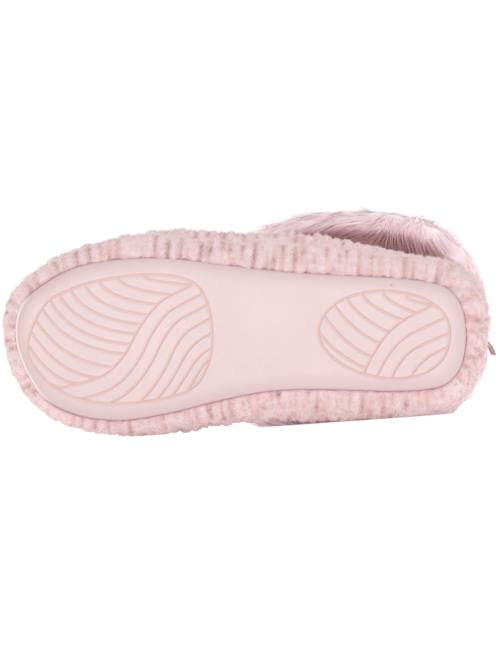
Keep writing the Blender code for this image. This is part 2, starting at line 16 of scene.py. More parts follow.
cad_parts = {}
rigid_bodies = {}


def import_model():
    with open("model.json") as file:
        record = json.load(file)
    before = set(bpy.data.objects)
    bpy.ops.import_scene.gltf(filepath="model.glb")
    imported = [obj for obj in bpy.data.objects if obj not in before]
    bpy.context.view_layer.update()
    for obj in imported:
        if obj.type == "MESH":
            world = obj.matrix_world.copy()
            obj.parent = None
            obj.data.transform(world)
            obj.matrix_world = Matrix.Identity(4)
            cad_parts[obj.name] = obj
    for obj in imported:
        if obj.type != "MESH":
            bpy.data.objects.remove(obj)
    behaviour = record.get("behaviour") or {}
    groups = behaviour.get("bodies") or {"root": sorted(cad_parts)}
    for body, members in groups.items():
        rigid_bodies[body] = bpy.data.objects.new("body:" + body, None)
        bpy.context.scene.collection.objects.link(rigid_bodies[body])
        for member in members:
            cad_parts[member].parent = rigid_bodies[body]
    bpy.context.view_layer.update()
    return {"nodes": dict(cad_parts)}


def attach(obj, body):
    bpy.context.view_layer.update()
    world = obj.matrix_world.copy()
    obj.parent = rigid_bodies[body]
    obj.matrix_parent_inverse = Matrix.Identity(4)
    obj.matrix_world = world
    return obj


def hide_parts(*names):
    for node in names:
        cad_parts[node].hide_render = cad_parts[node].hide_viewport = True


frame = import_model()
print("solids:", ", ".join(sorted(frame["nodes"])))

# %% [markdown]
# ## The boot's own frame
# A shoemaker measures along the sole, across it and up from it. So every shape below is drawn in
# millimetres in that frame: x runs from the back of the sole to the toe, y to the outer side, and z up
# from the ground. One turn and one shift then lay the boot on the floor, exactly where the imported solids
# lie.

# %% From the boot's frame to the floor
MM = 0.001
LYING_TURN = np.array(
    [
        [-0.997522, 0.070218, 0.004295],
        [0.0, -0.061049, 0.998135],
        [0.070349, 0.995662, 0.060897],
    ]
)
LYING_PLACE = np.array([0.111134, -0.074797, 0.042456])


def laid(points):
    """Points of the boot's frame, in millimetres, as places on the floor in metres."""
    return MM * np.asarray(points) @ LYING_TURN.T + LYING_PLACE


def laid_way(ways):
    """Directions of the boot's frame as directions in the room."""
    return np.asarray(ways) @ LYING_TURN.T


def above_floor(places, clearance=0.0003):
    """Places in the room, with all that would sink below the floor pressed flat on it."""
    places = places.copy()
    places[:, 2] = np.maximum(places[:, 2], clearance)
    return places


print("toe in the room:", laid([245.0, 2.0, 0.0]).round(3), "back:", laid([0.0, 0.0, 0.0]).round(3))

# %% [markdown]
# ## Camera, floor and light
# The picture was taken from well in front with a long lens, square on to the sole. The camera sits as low
# as the floor allows and is rolled with the boot, so that the sole keeps its tilt in the picture. The
# room is white all round, as in a light tent, and gives most of the light. A weak soft lamp in front and
# a weaker one above add just enough shade for the grooves and lobes to show.

# %% Camera
PICTURE_WIDTH = 500
FOCAL_PIXELS = 2405.0
SENSOR_WIDTH = 36.0
AIM_POINT = (117.2, 0.3, 0.0)
EYE_PLACE = (-0.01134, -1.37239, 0.008)

scene = bpy.context.scene
scene.view_settings.view_transform = "Standard"
aim = Vector(laid(AIM_POINT))
eye = Vector(EYE_PLACE)
back_way = (eye - aim).normalized()
right_way = Vector(laid_way([0.0, 1.0, 0.0])).cross(back_way).normalized()
up_way = back_way.cross(right_way)
bpy.ops.object.camera_add()
camera = bpy.context.object
camera.name = "camera"
camera.matrix_world = Matrix.Translation(eye) @ Matrix((right_way, up_way, back_way)).transposed().to_4x4()
camera.data.sensor_fit = "HORIZONTAL"
camera.data.sensor_width = SENSOR_WIDTH
camera.data.lens = SENSOR_WIDTH * FOCAL_PIXELS / PICTURE_WIDTH
scene.camera = camera
print("camera is", round((eye - aim).length, 3), "m from the sole")

# %% Floor and light
ROOM_BRIGHTNESS = 1.04
FLOOR_GREY = 0.93
FLOOR_GLOW = 0.55
WHITE = (1.0, 1.0, 1.0)

room = bpy.data.worlds.new("white_room")
room.use_nodes = True
sky = room.node_tree.nodes["Background"].inputs
sky["Color"].default_value = (*WHITE, 1.0)
sky["Strength"].default_value = ROOM_BRIGHTNESS
scene.world = room


def soft_lamp(name, place, size, watts, target=(0.0, 0.0, 0.06)):
    """A large square lamp that faces a target."""
    bpy.ops.object.light_add(type="AREA", location=place)
    lamp = bpy.context.object
    lamp.name = name
    lamp.data.energy = watts
    lamp.data.size = size
    lamp.rotation_euler = (Vector(target) - Vector(place)).to_track_quat("-Z", "Y").to_euler()
    return lamp


soft_lamp("key_lamp", (0.2, -2.4, 1.5), 0.8, 12.0)
soft_lamp("top_lamp", (-0.1, 0.3, 1.6), 1.0, 3.0)

bpy.ops.mesh.primitive_plane_add(size=14.0)
floor = bpy.context.object
floor.name = "floor"
floor_paint = bpy.data.materials.new("white_floor")
floor_paint.use_nodes = True
paint = floor_paint.node_tree.nodes["Principled BSDF"].inputs
paint["Base Color"].default_value = (FLOOR_GREY, FLOOR_GREY, FLOOR_GREY, 1.0)
paint["Roughness"].default_value = 0.9
paint["Emission Color"].default_value = (*WHITE, 1.0)
paint["Emission Strength"].default_value = FLOOR_GLOW
floor.data.materials.append(floor_paint)
print("floor and two lamps are set")

# %% [markdown]
# ## The last that everything is built on
# A shoe is made round a last, a solid foot shape. Here the last is a sole outline with a table of how far
# the plush puffs out past it, and a set of curves that rise from there to the collar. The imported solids
# come from the same tables, so a piece that is drawn on the last fits the solids with nothing to adjust
# by eye.

# %% Curves through points
def through(points, closed, per_span=40):
    """A smooth curve through the points, as a dense polyline."""
    points = np.asarray(points, float)
    if closed:
        padded = np.vstack([points[-1:], points, points[:2]])
    else:
        padded = np.vstack([2 * points[:1] - points[1:2], points, 2 * points[-1:] - points[-2:-1]])
    t = np.linspace(0.0, 1.0, per_span, endpoint=False)[:, None]
    spans = []
    for a, b, c, d in zip(padded[:-3], padded[1:-2], padded[2:-1], padded[3:]):
        cubic = 2 * b + (c - a) * t + (2 * a - 5 * b + 4 * c - d) * t**2 + (3 * b - a - 3 * c + d) * t**3
        spans.append(cubic / 2)
    if not closed:
        spans.append(points[-1:])
    return np.vstack(spans)


def length_along(line):
    """The distance along a polyline at each of its points."""
    return np.concatenate([[0.0], np.cumsum(np.linalg.norm(np.diff(line, axis=0), axis=1))])


def resample(line, count):
    """An open line with count points, evenly spaced along it."""
    run = length_along(line)
    wanted = np.linspace(0.0, run[-1], count)
    return np.stack([np.interp(wanted, run, axis) for axis in line.T], axis=1)


def smooth_step(value):
    value = np.clip(value, 0.0, 1.0)
    return value * value * (3.0 - 2.0 * value)


def closed_outline(sides, front, back, count):
    """A closed outline in plan: from its front along the outer side to its back, and home again."""
    along, outer, inner = np.array(sides)[:, :3].T
    outer_side = np.stack([along, outer], axis=1)
    inner_side = np.stack([along, inner], axis=1)[::-1]
    line = through(np.vstack([[front], outer_side, [back], inner_side]), closed=True)
    half = len(line) // 2
    outer_half = resample(line[: half + 1], count // 2 + 1)
    inner_half = resample(np.vstack([line[half:], line[:1]]), count // 2 + 1)
    return np.vstack([outer_half[:-1], inner_half[:-1]])


def outward(outline):
    """Directions in plan that point out of an outline."""
    along = np.roll(outline, -1, axis=0) - np.roll(outline, 1, axis=0)
    side = np.stack([along[:, 1], -along[:, 0]], axis=1)
    return side / np.linalg.norm(side, axis=1, keepdims=True)


print("a curve through 4 points has", len(through([[0, 0], [1, 0], [1, 1], [0, 1]], closed=True)), "points")

# %% The sole's outline
AROUND = 840
SOLE_LENGTH = 245.0
SOLE_EDGE_RISE = 2.6
SOLE_EDGE_RADIUS = 6.5
SOLE_THICKNESS = 6.0
TOE_SPRING = 8.0
TOE_SPRING_START = 182.0
RIM_START = 222.0
RIM_FADE = 12.0
RIM_SIDE_END = 24.0
RIM_SIDE_FADE = 10.0

# Distance from the back, reach to the outer and to the inner side, and the plush's puff on each of them.
SOLE_STATIONS = (
    (241.5, 16.5, -14.5, 8.5, 8.0),
    (229.5, 27.5, -34.0, 9.5, 8.5),
    (211.0, 37.0, -43.6, 11.5, 9.0),
    (188.0, 41.2, -46.5, 14.0, 10.0),
    (162.0, 41.8, -42.8, 15.5, 13.0),
    (134.0, 38.6, -35.9, 17.0, 15.5),
    (108.0, 35.5, -30.9, 19.0, 16.5),
    (82.0, 33.4, -29.7, 19.0, 17.3),
    (41.0, 31.3, -30.7, 15.8, 16.5),
    (20.0, 28.8, -29.5, 14.5, 15.5),
    (9.5, 25.0, -25.8, 12.8, 14.0),
    (2.4, 15.5, -16.0, 12.6, 13.2),
)
sole_outline = closed_outline(SOLE_STATIONS, (SOLE_LENGTH, 2.0), (0.0, 0.0), AROUND)
sole_out = outward(sole_outline)


def toe_lift(along):
    """How far the toe spring lifts the sole at a distance from its back."""
    share = np.clip((along - TOE_SPRING_START) / (SOLE_LENGTH - TOE_SPRING_START), 0.0, 1.2)
    return TOE_SPRING * share**2


def toe_rim(plan):
    """Where the sole's edge shows as a pale rim: round the tip of the toe, further along the inner side."""
    forward = smooth_step((plan[:, 0] - RIM_START) / RIM_FADE)
    return forward * smooth_step((RIM_SIDE_END - plan[:, 1]) / RIM_SIDE_FADE)


print("the sole is", round(length_along(sole_outline)[-1]), "mm round")

# %% The plush's outside
GAP = 0.3
WALL = 3.0
WIDEST_HEIGHT = 25.0
TOE_PUFF = 7.5
HEEL_PUFF = 13.0
PUFF_EASE = 8
COLLAR_HEIGHT = 138.0
COLLAR_CENTRE = 61.0
COLLAR_HALF_LENGTH = 63.5
COLLAR_HALF_WIDTH = 49.0
COLLAR_SQUARENESS = 2.6
COLLAR_SPREAD = 0.3

# Direction round the collar, the heights of the rising curve's two handles, and the lean of the upper one.
RISE_ROWS = (
    (0.0, 28.0, 86.0, 7.0),
    (25.0, 28.0, 72.0, 2.0),
    (60.0, 30.0, 52.0, -5.0),
    (100.0, 32.0, 44.0, -6.0),
    (180.0, 34.0, 40.0, -4.0),
)


def averaged(values, reach):
    """Values round a ring, each replaced by the mean of its neighbourhood."""
    return np.mean([np.roll(values, shift, axis=0) for shift in range(-reach, reach + 1)], axis=0)


def puff():
    """How far the plush stands out past each point of the sole's outline."""
    table = np.array(SOLE_STATIONS)
    along = np.concatenate([[SOLE_LENGTH], table[:, 0], [0.0]])[::-1]
    sides = []
    for column in (3, 4):
        values = np.concatenate([[TOE_PUFF], table[:, column], [HEEL_PUFF]])[::-1]
        sides.append(np.interp(sole_outline[:, 0], along, values))
    return averaged(np.where(sole_outline[:, 1] > 0.0, *sides), PUFF_EASE)


sole_turn = np.unwrap(np.arctan2(sole_outline[:, 1], sole_outline[:, 0] - COLLAR_CENTRE))
even_turn = 2.0 * math.pi * np.arange(AROUND) / AROUND
collar_turn = (1.0 - COLLAR_SPREAD) * (sole_turn - sole_turn[0]) + COLLAR_SPREAD * even_turn


def plush_meridians(under_steps=30, over_steps=150):
    """Rows of points from the sole's seam out to the widest line and up to the collar."""
    seam = sole_outline + GAP * sole_out
    swell = puff()[:, None] * sole_out
    lift = toe_lift(sole_outline[:, 0])
    low, wide = SOLE_EDGE_RISE + lift, WIDEST_HEIGHT + 0.5 * lift
    rows = []
    for angle in 0.5 * math.pi * np.arange(under_steps) / under_steps:
        level = wide + (low - wide) * math.cos(angle)
        rows.append(np.column_stack([seam + swell * math.sin(angle), level]))
    away = np.degrees(np.minimum(collar_turn, 2.0 * math.pi - collar_turn))
    turns, *handles = np.array(RISE_ROWS).T
    rise, drop, lean = (np.interp(away, turns, column) for column in handles)
    cos, sin = np.cos(collar_turn), np.sin(collar_turn)
    power = 2.0 / COLLAR_SQUARENESS
    collar_x = COLLAR_CENTRE + COLLAR_HALF_LENGTH * np.sign(cos) * np.abs(cos) ** power
    collar_y = COLLAR_HALF_WIDTH * np.sign(sin) * np.abs(sin) ** power
    a = np.column_stack([seam + swell, wide])
    b = np.column_stack([seam + swell, wide + rise])
    c = np.column_stack([collar_x + lean * cos, collar_y + lean * sin, COLLAR_HEIGHT - drop])
    d = np.column_stack([collar_x, collar_y, np.full(AROUND, COLLAR_HEIGHT)])
    for t in np.linspace(0.0, 1.0, over_steps + 1):
        rows.append((1 - t) ** 3 * a + 3 * (1 - t) ** 2 * t * b + 3 * (1 - t) * t**2 * c + t**3 * d)
    return np.array(rows)


meridians = plush_meridians()
meridian_run = np.stack([length_along(meridians[:, k]) for k in range(AROUND)], axis=1)
print("from seam to collar:", round(meridian_run[-1, 0]), "mm over the toe,",
      round(meridian_run[-1, AROUND // 2]), "mm up the heel")

# %% Helpers for pieces
def start(adder, name, **options):
    """Adds a primitive with nothing else selected, and names it."""
    bpy.ops.object.select_all(action="DESELECT")
    adder(**options)
    piece = bpy.context.object
    piece.name = name
    piece.data.name = name
    return piece


def places_of(piece):
    places = np.empty(3 * len(piece.data.vertices))
    piece.data.vertices.foreach_get("co", places)
    return places.reshape(-1, 3)


def set_places(piece, places):
    piece.data.vertices.foreach_set("co", np.asarray(places, float).ravel())
    piece.data.update()


def mark(piece, name, values):
    """Stores one number at each point of a piece, for its material to read."""
    layer = piece.data.attributes.new(name, "FLOAT", "POINT")
    layer.data.foreach_set("value", np.asarray(values, np.float32).ravel())


def triangles(piece):
    piece.data.calc_loop_triangles()
    return len(piece.data.loop_triangles)


def nearest_on(points, line):
    """For each plan point, the number of the nearest point of a densely drawn line and how far it is."""
    tree = kdtree.KDTree(len(line))
    for number, (x, y) in enumerate(line):
        tree.insert((x, y, 0.0), number)
    tree.balance()
    found = [tree.find((x, y, 0.0)) for x, y in points]
    return np.array([number for _, number, _ in found]), np.array([distance for _, _, distance in found])


def distance_to(points, line):
    """How far each plan point lies from a densely drawn line."""
    return nearest_on(points, line)[1]


def signed_distance(points, line, sides):
    """How far each plan point lies from a line, positive on the side that its directions point to."""
    nearest = nearest_on(points, line)[0]
    away = points - line[nearest]
    return np.linalg.norm(away, axis=1) * np.sign((away * sides[nearest]).sum(axis=1) + 1e-9)


def choose(piece, kind, chosen):
    """Opens a piece in edit mode with only the chosen faces or edges selected."""
    bpy.ops.object.mode_set(mode="EDIT")
    bpy.ops.mesh.select_mode(type=kind)
    bpy.ops.mesh.select_all(action="DESELECT")
    bpy.ops.object.mode_set(mode="OBJECT")
    elements = piece.data.polygons if kind == "FACE" else piece.data.edges
    elements.foreach_set("select", np.asarray(chosen, bool))
    bpy.ops.object.mode_set(mode="EDIT")


def shade_smooth(piece):
    bpy.ops.object.select_all(action="DESELECT")
    piece.select_set(True)
    bpy.context.view_layer.objects.active = piece
    bpy.ops.object.shade_smooth()


print("helpers are ready")

# %% Helpers for finishes
class Finish:
    """A Principled material with short calls for the nodes that the finishes here share."""

    def __init__(self, name, roughness, **sockets):
        self.material = bpy.data.materials.new(name)
        self.material.use_nodes = True
        self.nodes = self.material.node_tree.nodes
        self.links = self.material.node_tree.links
        self.shader = self.nodes["Principled BSDF"]
        self.shader.inputs["Roughness"].default_value = roughness
        for socket, value in sockets.items():
            self.shader.inputs[socket.replace("_", " ")].default_value = value
        self.place = self.nodes.new("ShaderNodeTexCoord").outputs["Object"]

    def attribute(self, name):
        node = self.nodes.new("ShaderNodeAttribute")
        node.attribute_name = name
        return node.outputs["Fac"]

    def noise(self, size_mm, detail=2.0, rough=0.5):
        """Soft noise whose blotches are about so many millimetres across."""
        node = self.nodes.new("ShaderNodeTexNoise")
        node.inputs["Scale"].default_value = 1.0 / (size_mm * MM)
        node.inputs["Detail"].default_value = detail
        node.inputs["Roughness"].default_value = rough
        self.links.new(self.place, node.inputs["Vector"])
        return node.outputs["Fac"]

    def ramp(self, value, *stops):
        """Colours by a number from 0 to 1. Each stop is a position and a colour."""
        node = self.nodes.new("ShaderNodeValToRGB")
        while len(node.color_ramp.elements) < len(stops):
            node.color_ramp.elements.new(0.5)
        for element, (position, colour) in zip(node.color_ramp.elements, stops):
            element.position = position
            element.color = (*colour, 1.0)
        self.links.new(value, node.inputs["Fac"])
        return node.outputs["Color"]

    def fade(self, value, *stops):
        """A share by a number from 0 to 1. Each stop is a position and a share."""
        return self.ramp(value, *((position, (share,) * 3) for position, share in stops))

    def mix(self, share, first, second, blend="MIX"):
        """A blend of two colours. Each value is a number, a colour or another node's output."""
        node = self.nodes.new("ShaderNodeMix")
        node.data_type = "RGBA"
        node.blend_type = blend
        sockets = [s for s in node.inputs if s.enabled]
        for socket, value in zip(sockets, (share, first, second)):
            if isinstance(value, bpy.types.NodeSocket):
                self.links.new(value, socket)
            elif isinstance(value, tuple):
                socket.default_value = (*value, 1.0)
            else:
                socket.default_value = value
        return next(s for s in node.outputs if s.enabled)

    def colour(self, output):
        self.links.new(output, self.shader.inputs["Base Color"])

    def bump(self, height, depth_mm, strength=1.0):
        node = self.nodes.new("ShaderNodeBump")
        node.inputs["Strength"].default_value = strength
        node.inputs["Distance"].default_value = depth_mm * MM
        self.links.new(height, node.inputs["Height"])
        before = self.shader.inputs["Normal"].links
        if before:
            self.links.new(before[0].from_socket, node.inputs["Normal"])
        self.links.new(node.outputs["Normal"], self.shader.inputs["Normal"])

    def on(self, piece):
        piece.data.materials.append(self.material)


print("finishes are made from one small class")

# %% [markdown]
# ## The moulded sole
# The sole is one moulding of soft rubber: flat underneath, rounded up at the edge, sprung up at the toe,
# with two bordered fields of fine grooves. The grooves could be cut with Booleans, but a moulded groove
# has soft lips that a cutter doesn't give. So a grid is laid into the outline, only the faces near a
# groove are subdivided, and the points there sink by their distance from the groove's line. Each groove
# is steep on one side, where its shading and painted shade draw a fine line, and runs out gently on the
# other.

# %% Lines of the tread
WAVE_CLEARANCE = 0.3
# A wave has its head's place on the border and its foot's place across the divider. A band has its gap from
# the divider at its outer and at its inner end.
FIELDS = (
    {
        "front": (238.0, -7.0),
        "back": (137.5, -1.0),
        "sides": (
            (229.0, 15.5, -23.5),
            (214.0, 25.0, -33.0),
            (194.0, 30.5, -37.0),
            (168.0, 32.8, -35.0),
            (149.0, 29.0, -29.0),
            (140.5, 18.0, -17.5),
        ),
        "divider": (
            (149.5, 27.0),
            (166.0, 17.5),
            (176.5, 4.5),
            (185.0, -10.5),
            (197.0, -22.0),
            (221.0, -29.0),
        ),
        "waves": (
            (173.7, 31.1, 27.2),
            (188.6, 30.2, 21.9),
            (198.4, 28.3, 16.7),
            (206.3, 26.4, 11.1),
            (213.7, 23.6, 5.9),
            (220.3, 21.3, 0.6),
            (224.4, 17.1, -5.0),
            (229.1, 13.4, -10.1),
            (233.8, 8.8, -17.3),
            (236.1, 2.2, -23.0),
            (237.0, -6.1, -26.2),
            (234.2, -16.4, -28.6),
        ),
        "slopes_deg": (5.0, 58.0),
        "bands": ((6.9, 8.3), (13.6, 15.2), (20.9, 23.4), (28.2, 29.1), (35.2, 34.0), (39.4, 39.5)),
    },
    {
        "front": (80.2, 1.8),
        "back": (9.3, 0.8),
        "sides": (
            (75.0, 13.5, -9.5),
            (61.0, 21.8, -19.0),
            (42.0, 23.8, -23.4),
            (24.0, 20.0, -21.0),
            (12.5, 11.5, -12.0),
        ),
        "divider": ((18.6, 16.3), (32.6, 9.1), (42.9, 0.8), (50.2, -9.5), (55.8, -20.4)),
        "waves": (
            (32.6, 20.4, 16.2),
            (45.1, 22.3, 12.0),
            (56.2, 21.3, 8.1),
            (64.4, 18.9, 1.6),
            (71.2, 15.8, -4.5),
            (76.5, 9.7, -11.9),
            (79.4, 1.1, -17.9),
        ),
        "slopes_deg": (25.0, 56.0),
        "bands": ((8.9, 7.3), (17.2, 14.7), (23.8, 23.5)),
    },
)
TREAD_STEP = 0.25
STEEP_SIDE = np.array([-0.85, 0.5])
SIDE_CHANGE = 5.0
WALL_OFFSET = 0.45
BAND_EASE = 0.2
BAND_TURN = (0.25, 0.65)
DIVIDER_OVERRUN = 25.0
WAVE_OVERRUN = 1.15
FOOT_SLOPE_LIMIT = 0.6
HEAD_SLOPE_LIMIT = 3.5
SHORTEST_GROOVE = 5.0


def inside(points, outline):
    """Which plan points lie inside an outline, by the outline's turn round each of them."""
    ray = outline[None] - points[:, None]
    angle = np.arctan2(ray[..., 1], ray[..., 0])
    turn = np.diff(np.concatenate([angle, angle[:, :1]], axis=1), axis=1)
    return np.abs(((turn + math.pi) % (2 * math.pi) - math.pi).sum(axis=1)) > math.pi


def kept_stretch(line, border, toe_side=None):
    """The longest stretch of a line inside the border and, for a wave, on the toe side of the divider."""
    use = inside(line, border[::4]) & (distance_to(line, border) > WAVE_CLEARANCE)
    if toe_side is not None:
        use &= toe_side(line) > WAVE_CLEARANCE
    runs = np.split(np.arange(len(line)), np.where(np.diff(use.astype(int)) != 0)[0] + 1)
    kept = max((run for run in runs if use[run[0]]), key=len, default=[])
    return line[kept]


def relaxed(line, reach):
    """A line smoothed over a reach in millimetres, so that an offset round a tight bend keeps no kink."""
    line = resample(line, 400)
    step = length_along(line)[-1] / (len(line) - 1)
    span = np.arange(-round(3 * reach / step), round(3 * reach / step) + 1)
    weight = np.exp(-0.5 * (span * step / reach) ** 2)
    padded = np.pad(line, ((len(span) // 2, len(span) // 2), (0, 0)), mode="reflect", reflect_type="odd")
    return np.stack([np.convolve(axis, weight / weight.sum(), mode="valid") for axis in padded.T], axis=1)


def wave_line(head, foot, slopes_deg):
    """A curve from a wave's foot on the divider to its head on the border, and a little past it."""
    run, rise = head - foot
    foot_slope, head_slope = (math.tan(math.radians(slope)) for slope in slopes_deg)
    foot_slope = min(foot_slope, FOOT_SLOPE_LIMIT * rise / run)
    head_slope = min(head_slope, HEAD_SLOPE_LIMIT * rise / run)
    bend = (head_slope - rise / run) / (head_slope - foot_slope)
    corner = foot + bend * run * np.array([1.0, foot_slope])
    t = np.linspace(0.0, WAVE_OVERRUN, 240)[:, None]
    return (1 - t) ** 2 * foot + 2 * (1 - t) * t * corner + t**2 * head


def field_lines(field):
    """All groove lines of one field: its border, the divider, the bands beside it and the waves into it."""
    border = closed_outline(field["sides"], field["front"], field["back"], 900)
    divider = through(field["divider"], closed=False)
    outer_way, inner_way = divider[0] - divider[4], divider[-1] - divider[-5]
    outer_end = divider[0] + DIVIDER_OVERRUN * outer_way / np.linalg.norm(outer_way)
    inner_end = divider[-1] + DIVIDER_OVERRUN * inner_way / np.linalg.norm(inner_way)
    divider = resample(np.vstack([[outer_end], divider, [inner_end]]), 500)
    along = np.gradient(divider, axis=0)
    along /= np.linalg.norm(along, axis=1, keepdims=True)
    to_heel = np.stack([along[:, 1], -along[:, 0]], axis=1)

    def toe_side(line):
        nearest = np.linalg.norm(line[:, None] - divider[None], axis=2).argmin(axis=1)
        return -((line - divider[nearest]) * to_heel[nearest]).sum(axis=1)

    lines = [np.vstack([border, border[:1]]), kept_stretch(divider, border)]
    turn_from, turn_to = BAND_TURN
    inward = smooth_step((np.linspace(0.0, 1.0, len(divider)) - turn_from) / (turn_to - turn_from))
    for outer_gap, inner_gap in field["bands"]:
        gap = outer_gap + (inner_gap - outer_gap) * inward[:, None]
        band = relaxed(divider + gap * to_heel, gap.mean() * BAND_EASE)
        lines.append(kept_stretch(band, border))
    for along_head, side_head, side_foot in field["waves"]:
        foot = np.array([np.interp(-side_foot, -divider[:, 1], divider[:, 0]), side_foot])
        wave = wave_line(np.array([along_head, side_head]), foot, field["slopes_deg"])
        lines.append(kept_stretch(wave, border, toe_side))
    return [line for line in lines if len(line) > 4 and length_along(line)[-1] > SHORTEST_GROOVE]


tread_lines = [line for field in FIELDS for line in field_lines(field)]
tread_points, wall_points, wall_side = [], [], []
for line in tread_lines:
    line = resample(line, 2 + int(length_along(line)[-1] / TREAD_STEP))
    run_way = np.gradient(line, axis=0)
    side = np.stack([-run_way[:, 1], run_way[:, 0]], axis=1)
    side /= np.linalg.norm(side, axis=1, keepdims=True)
    side *= np.tanh(SIDE_CHANGE * side @ STEEP_SIDE)[:, None]
    tread_points.append(line)
    wall_points.append(line + WALL_OFFSET * side)
    wall_side.append(side)
tread_points, wall_points, wall_side = (np.vstack(rows) for rows in (tread_points, wall_points, wall_side))
print(len(tread_lines), "grooves,", round(sum(length_along(line)[-1] for line in tread_lines)), "mm in all")

# %% Lay a grid into the outline
SOLE_ROWS = 176
SOLE_COLUMNS = 64
PIP_PLACE = np.array([41.0, 27.0])

sole = start(
    bpy.ops.mesh.primitive_grid_add, "sole", x_subdivisions=SOLE_ROWS, y_subdivisions=SOLE_COLUMNS, size=2.0
)
fine_edge = resample(np.vstack([sole_outline, sole_outline[:1]]), 2400)


def into_outline(grid, outline):
    """Plan places for the points of a square grid, so that its rows cross the outline from side to side."""
    from_toe = 0.5 * (1.0 - grid[:, 0])
    outer_half = outline[: AROUND // 2 + 1]
    inner_half = np.vstack([outline[AROUND // 2:], outline[:1]])[::-1]
    half_share = np.linspace(0.0, 1.0, AROUND // 2 + 1)
    outer_at = np.stack([np.interp(from_toe, half_share, axis) for axis in outer_half.T], axis=1)
    inner_at = np.stack([np.interp(from_toe, half_share, axis) for axis in inner_half.T], axis=1)
    return outer_at + 0.5 * (1.0 + grid[:, 1:2]) * (inner_at - outer_at)


plan = into_outline(places_of(sole), sole_outline)
set_places(sole, np.column_stack([plan, np.zeros(len(plan))]))

bpy.ops.object.mode_set(mode="EDIT")
bpy.ops.mesh.select_all(action="SELECT")
bpy.ops.mesh.remove_doubles(threshold=0.001)
bpy.ops.object.mode_set(mode="OBJECT")
print("the grid has", len(sole.data.polygons), "faces")

# %% Subdivide near the grooves and the edge
FINE_CUTS = 3
GROOVE_REACH = 1.5
EDGE_REACH = 2.1

centres = np.array([face.center[:2] for face in sole.data.polygons])
near = distance_to(centres, tread_points) < GROOVE_REACH
near |= distance_to(centres, fine_edge) < EDGE_REACH
near |= np.linalg.norm(centres - PIP_PLACE, axis=1) < GROOVE_REACH
choose(sole, "FACE", near)
bpy.ops.mesh.subdivide(number_cuts=FINE_CUTS, quadcorner="INNERVERT")
bpy.ops.object.mode_set(mode="OBJECT")
print(int(near.sum()), "faces are subdivided, and the sole now has", len(sole.data.polygons))

# %% Sink the grooves, round the edge and spring the toe
GROOVE_DEPTH = 0.5
STEEP_FROM = 0.3
STEEP_TO = 0.65
GENTLE_FROM = -0.35
GENTLE_TO = -1.45
GROOVE_SPAN = 3.0
BEAD_INSET = 1.7
BEAD_WIDTH = 0.45
BEAD_DEPTH = 0.35
PIP_RADIUS = 0.9
PIP_SOFTNESS = 0.5
PIP_DEPTH = 0.7
INSET_SPAN = 20.0
# Where the painted edge shade grows to its full strength, towards the toe.
TOE_SHADE_START = 120.0
TOE_SHADE_RUN = 110.0
SOLE_WALL = SOLE_THICKNESS - SOLE_EDGE_RISE

plan = places_of(sole)[:, :2]
to_wall = distance_to(plan, wall_points)
offset = signed_distance(plan, tread_points, wall_side)
to_edge = distance_to(plan, fine_edge)
groove = smooth_step((STEEP_TO - offset) / (STEEP_TO - STEEP_FROM))
groove *= smooth_step((offset - GENTLE_TO) / (GENTLE_FROM - GENTLE_TO))
pip = smooth_step((PIP_RADIUS - np.linalg.norm(plan - PIP_PLACE, axis=1)) / PIP_SOFTNESS)
groove = np.maximum(groove, PIP_DEPTH * pip)
near_edge = np.clip(1.0 - to_edge / SOLE_EDGE_RADIUS, 0.0, 1.0)
height = SOLE_EDGE_RISE * (1.0 - np.sqrt(1.0 - near_edge**2)) + toe_lift(plan[:, 0])
height += GROOVE_DEPTH * groove
bead = np.exp(-(((to_edge - BEAD_INSET) / BEAD_WIDTH) ** 2)) * toe_rim(plan)
height += BEAD_DEPTH * bead
set_places(sole, laid(np.column_stack([plan, height])))

bpy.ops.object.mode_set(mode="EDIT")
bpy.ops.mesh.select_mode(type="EDGE")
bpy.ops.mesh.select_all(action="DESELECT")
bpy.ops.mesh.select_non_manifold(
    extend=False, use_wire=False, use_multi_face=False, use_non_contiguous=False, use_verts=False
)
wall_way = MM * SOLE_WALL * laid_way([0.0, 0.0, 1.0])
bpy.ops.mesh.extrude_region_move(TRANSFORM_OT_translate={"value": tuple(wall_way)})
bpy.ops.mesh.edge_face_add()
bpy.ops.object.mode_set(mode="OBJECT")
# Each mark has its values underneath, and one value for the wall and the top.
sole_marks = {
    "to_wall": (np.clip(to_wall / GROOVE_SPAN, 0.0, 1.0), 1.0),
    "groove": (groove, 0.0),
    "pip": (pip, 0.0),
    "inset": (np.clip(to_edge / INSET_SPAN, 0.0, 1.0), 0.0),
    "toe": (smooth_step((plan[:, 0] - TOE_SHADE_START) / TOE_SHADE_RUN), 1.0),
    "rim": (toe_rim(plan), 0.0),
}
for name, (underneath, elsewhere) in sole_marks.items():
    mark(sole, name, np.concatenate([underneath, np.full(len(sole.data.vertices) - len(plan), elsewhere)]))
shade_smooth(sole)
bpy.ops.object.shade_smooth_by_angle(angle=math.radians(55))
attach(sole, "root")
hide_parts("outsole")
print("sole:", triangles(sole), "triangles")

# %% [markdown]
# ### The rubber's finish
# The rubber is a pale powdery pink. Painted shade makes it a little darker and more mauve where it rounds
# up at the edge, peach on the groove floors, salmon along each groove's steep wall and in the pip, and
# dark along the seam except round the toe, where a pale rim shows. A fine speckle and a soft half-matt
# gloss keep it from looking like paint. Groove, lip, edge and rim are numbers stored on the mesh, so the
# painted shade and the rim follow the shape.

# %% Rubber
LAND_LOW = (0.564, 0.449, 0.444)
LAND_HIGH = (0.594, 0.474, 0.469)
SPECKLE_LOW = (0.456, 0.342, 0.342)
SPECKLE_HIGH = (0.735, 0.647, 0.647)
EDGE_SHADE_MAUVE = (0.479, 0.353, 0.364)
GROOVE_SHADE_PEACH = (0.576, 0.409, 0.376)
HOLLOW_SHADE_SALMON = (0.494, 0.317, 0.293)
RIM_PALE = (0.634, 0.546, 0.546)
SEAM_SHADE = (0.36, 0.20, 0.21)

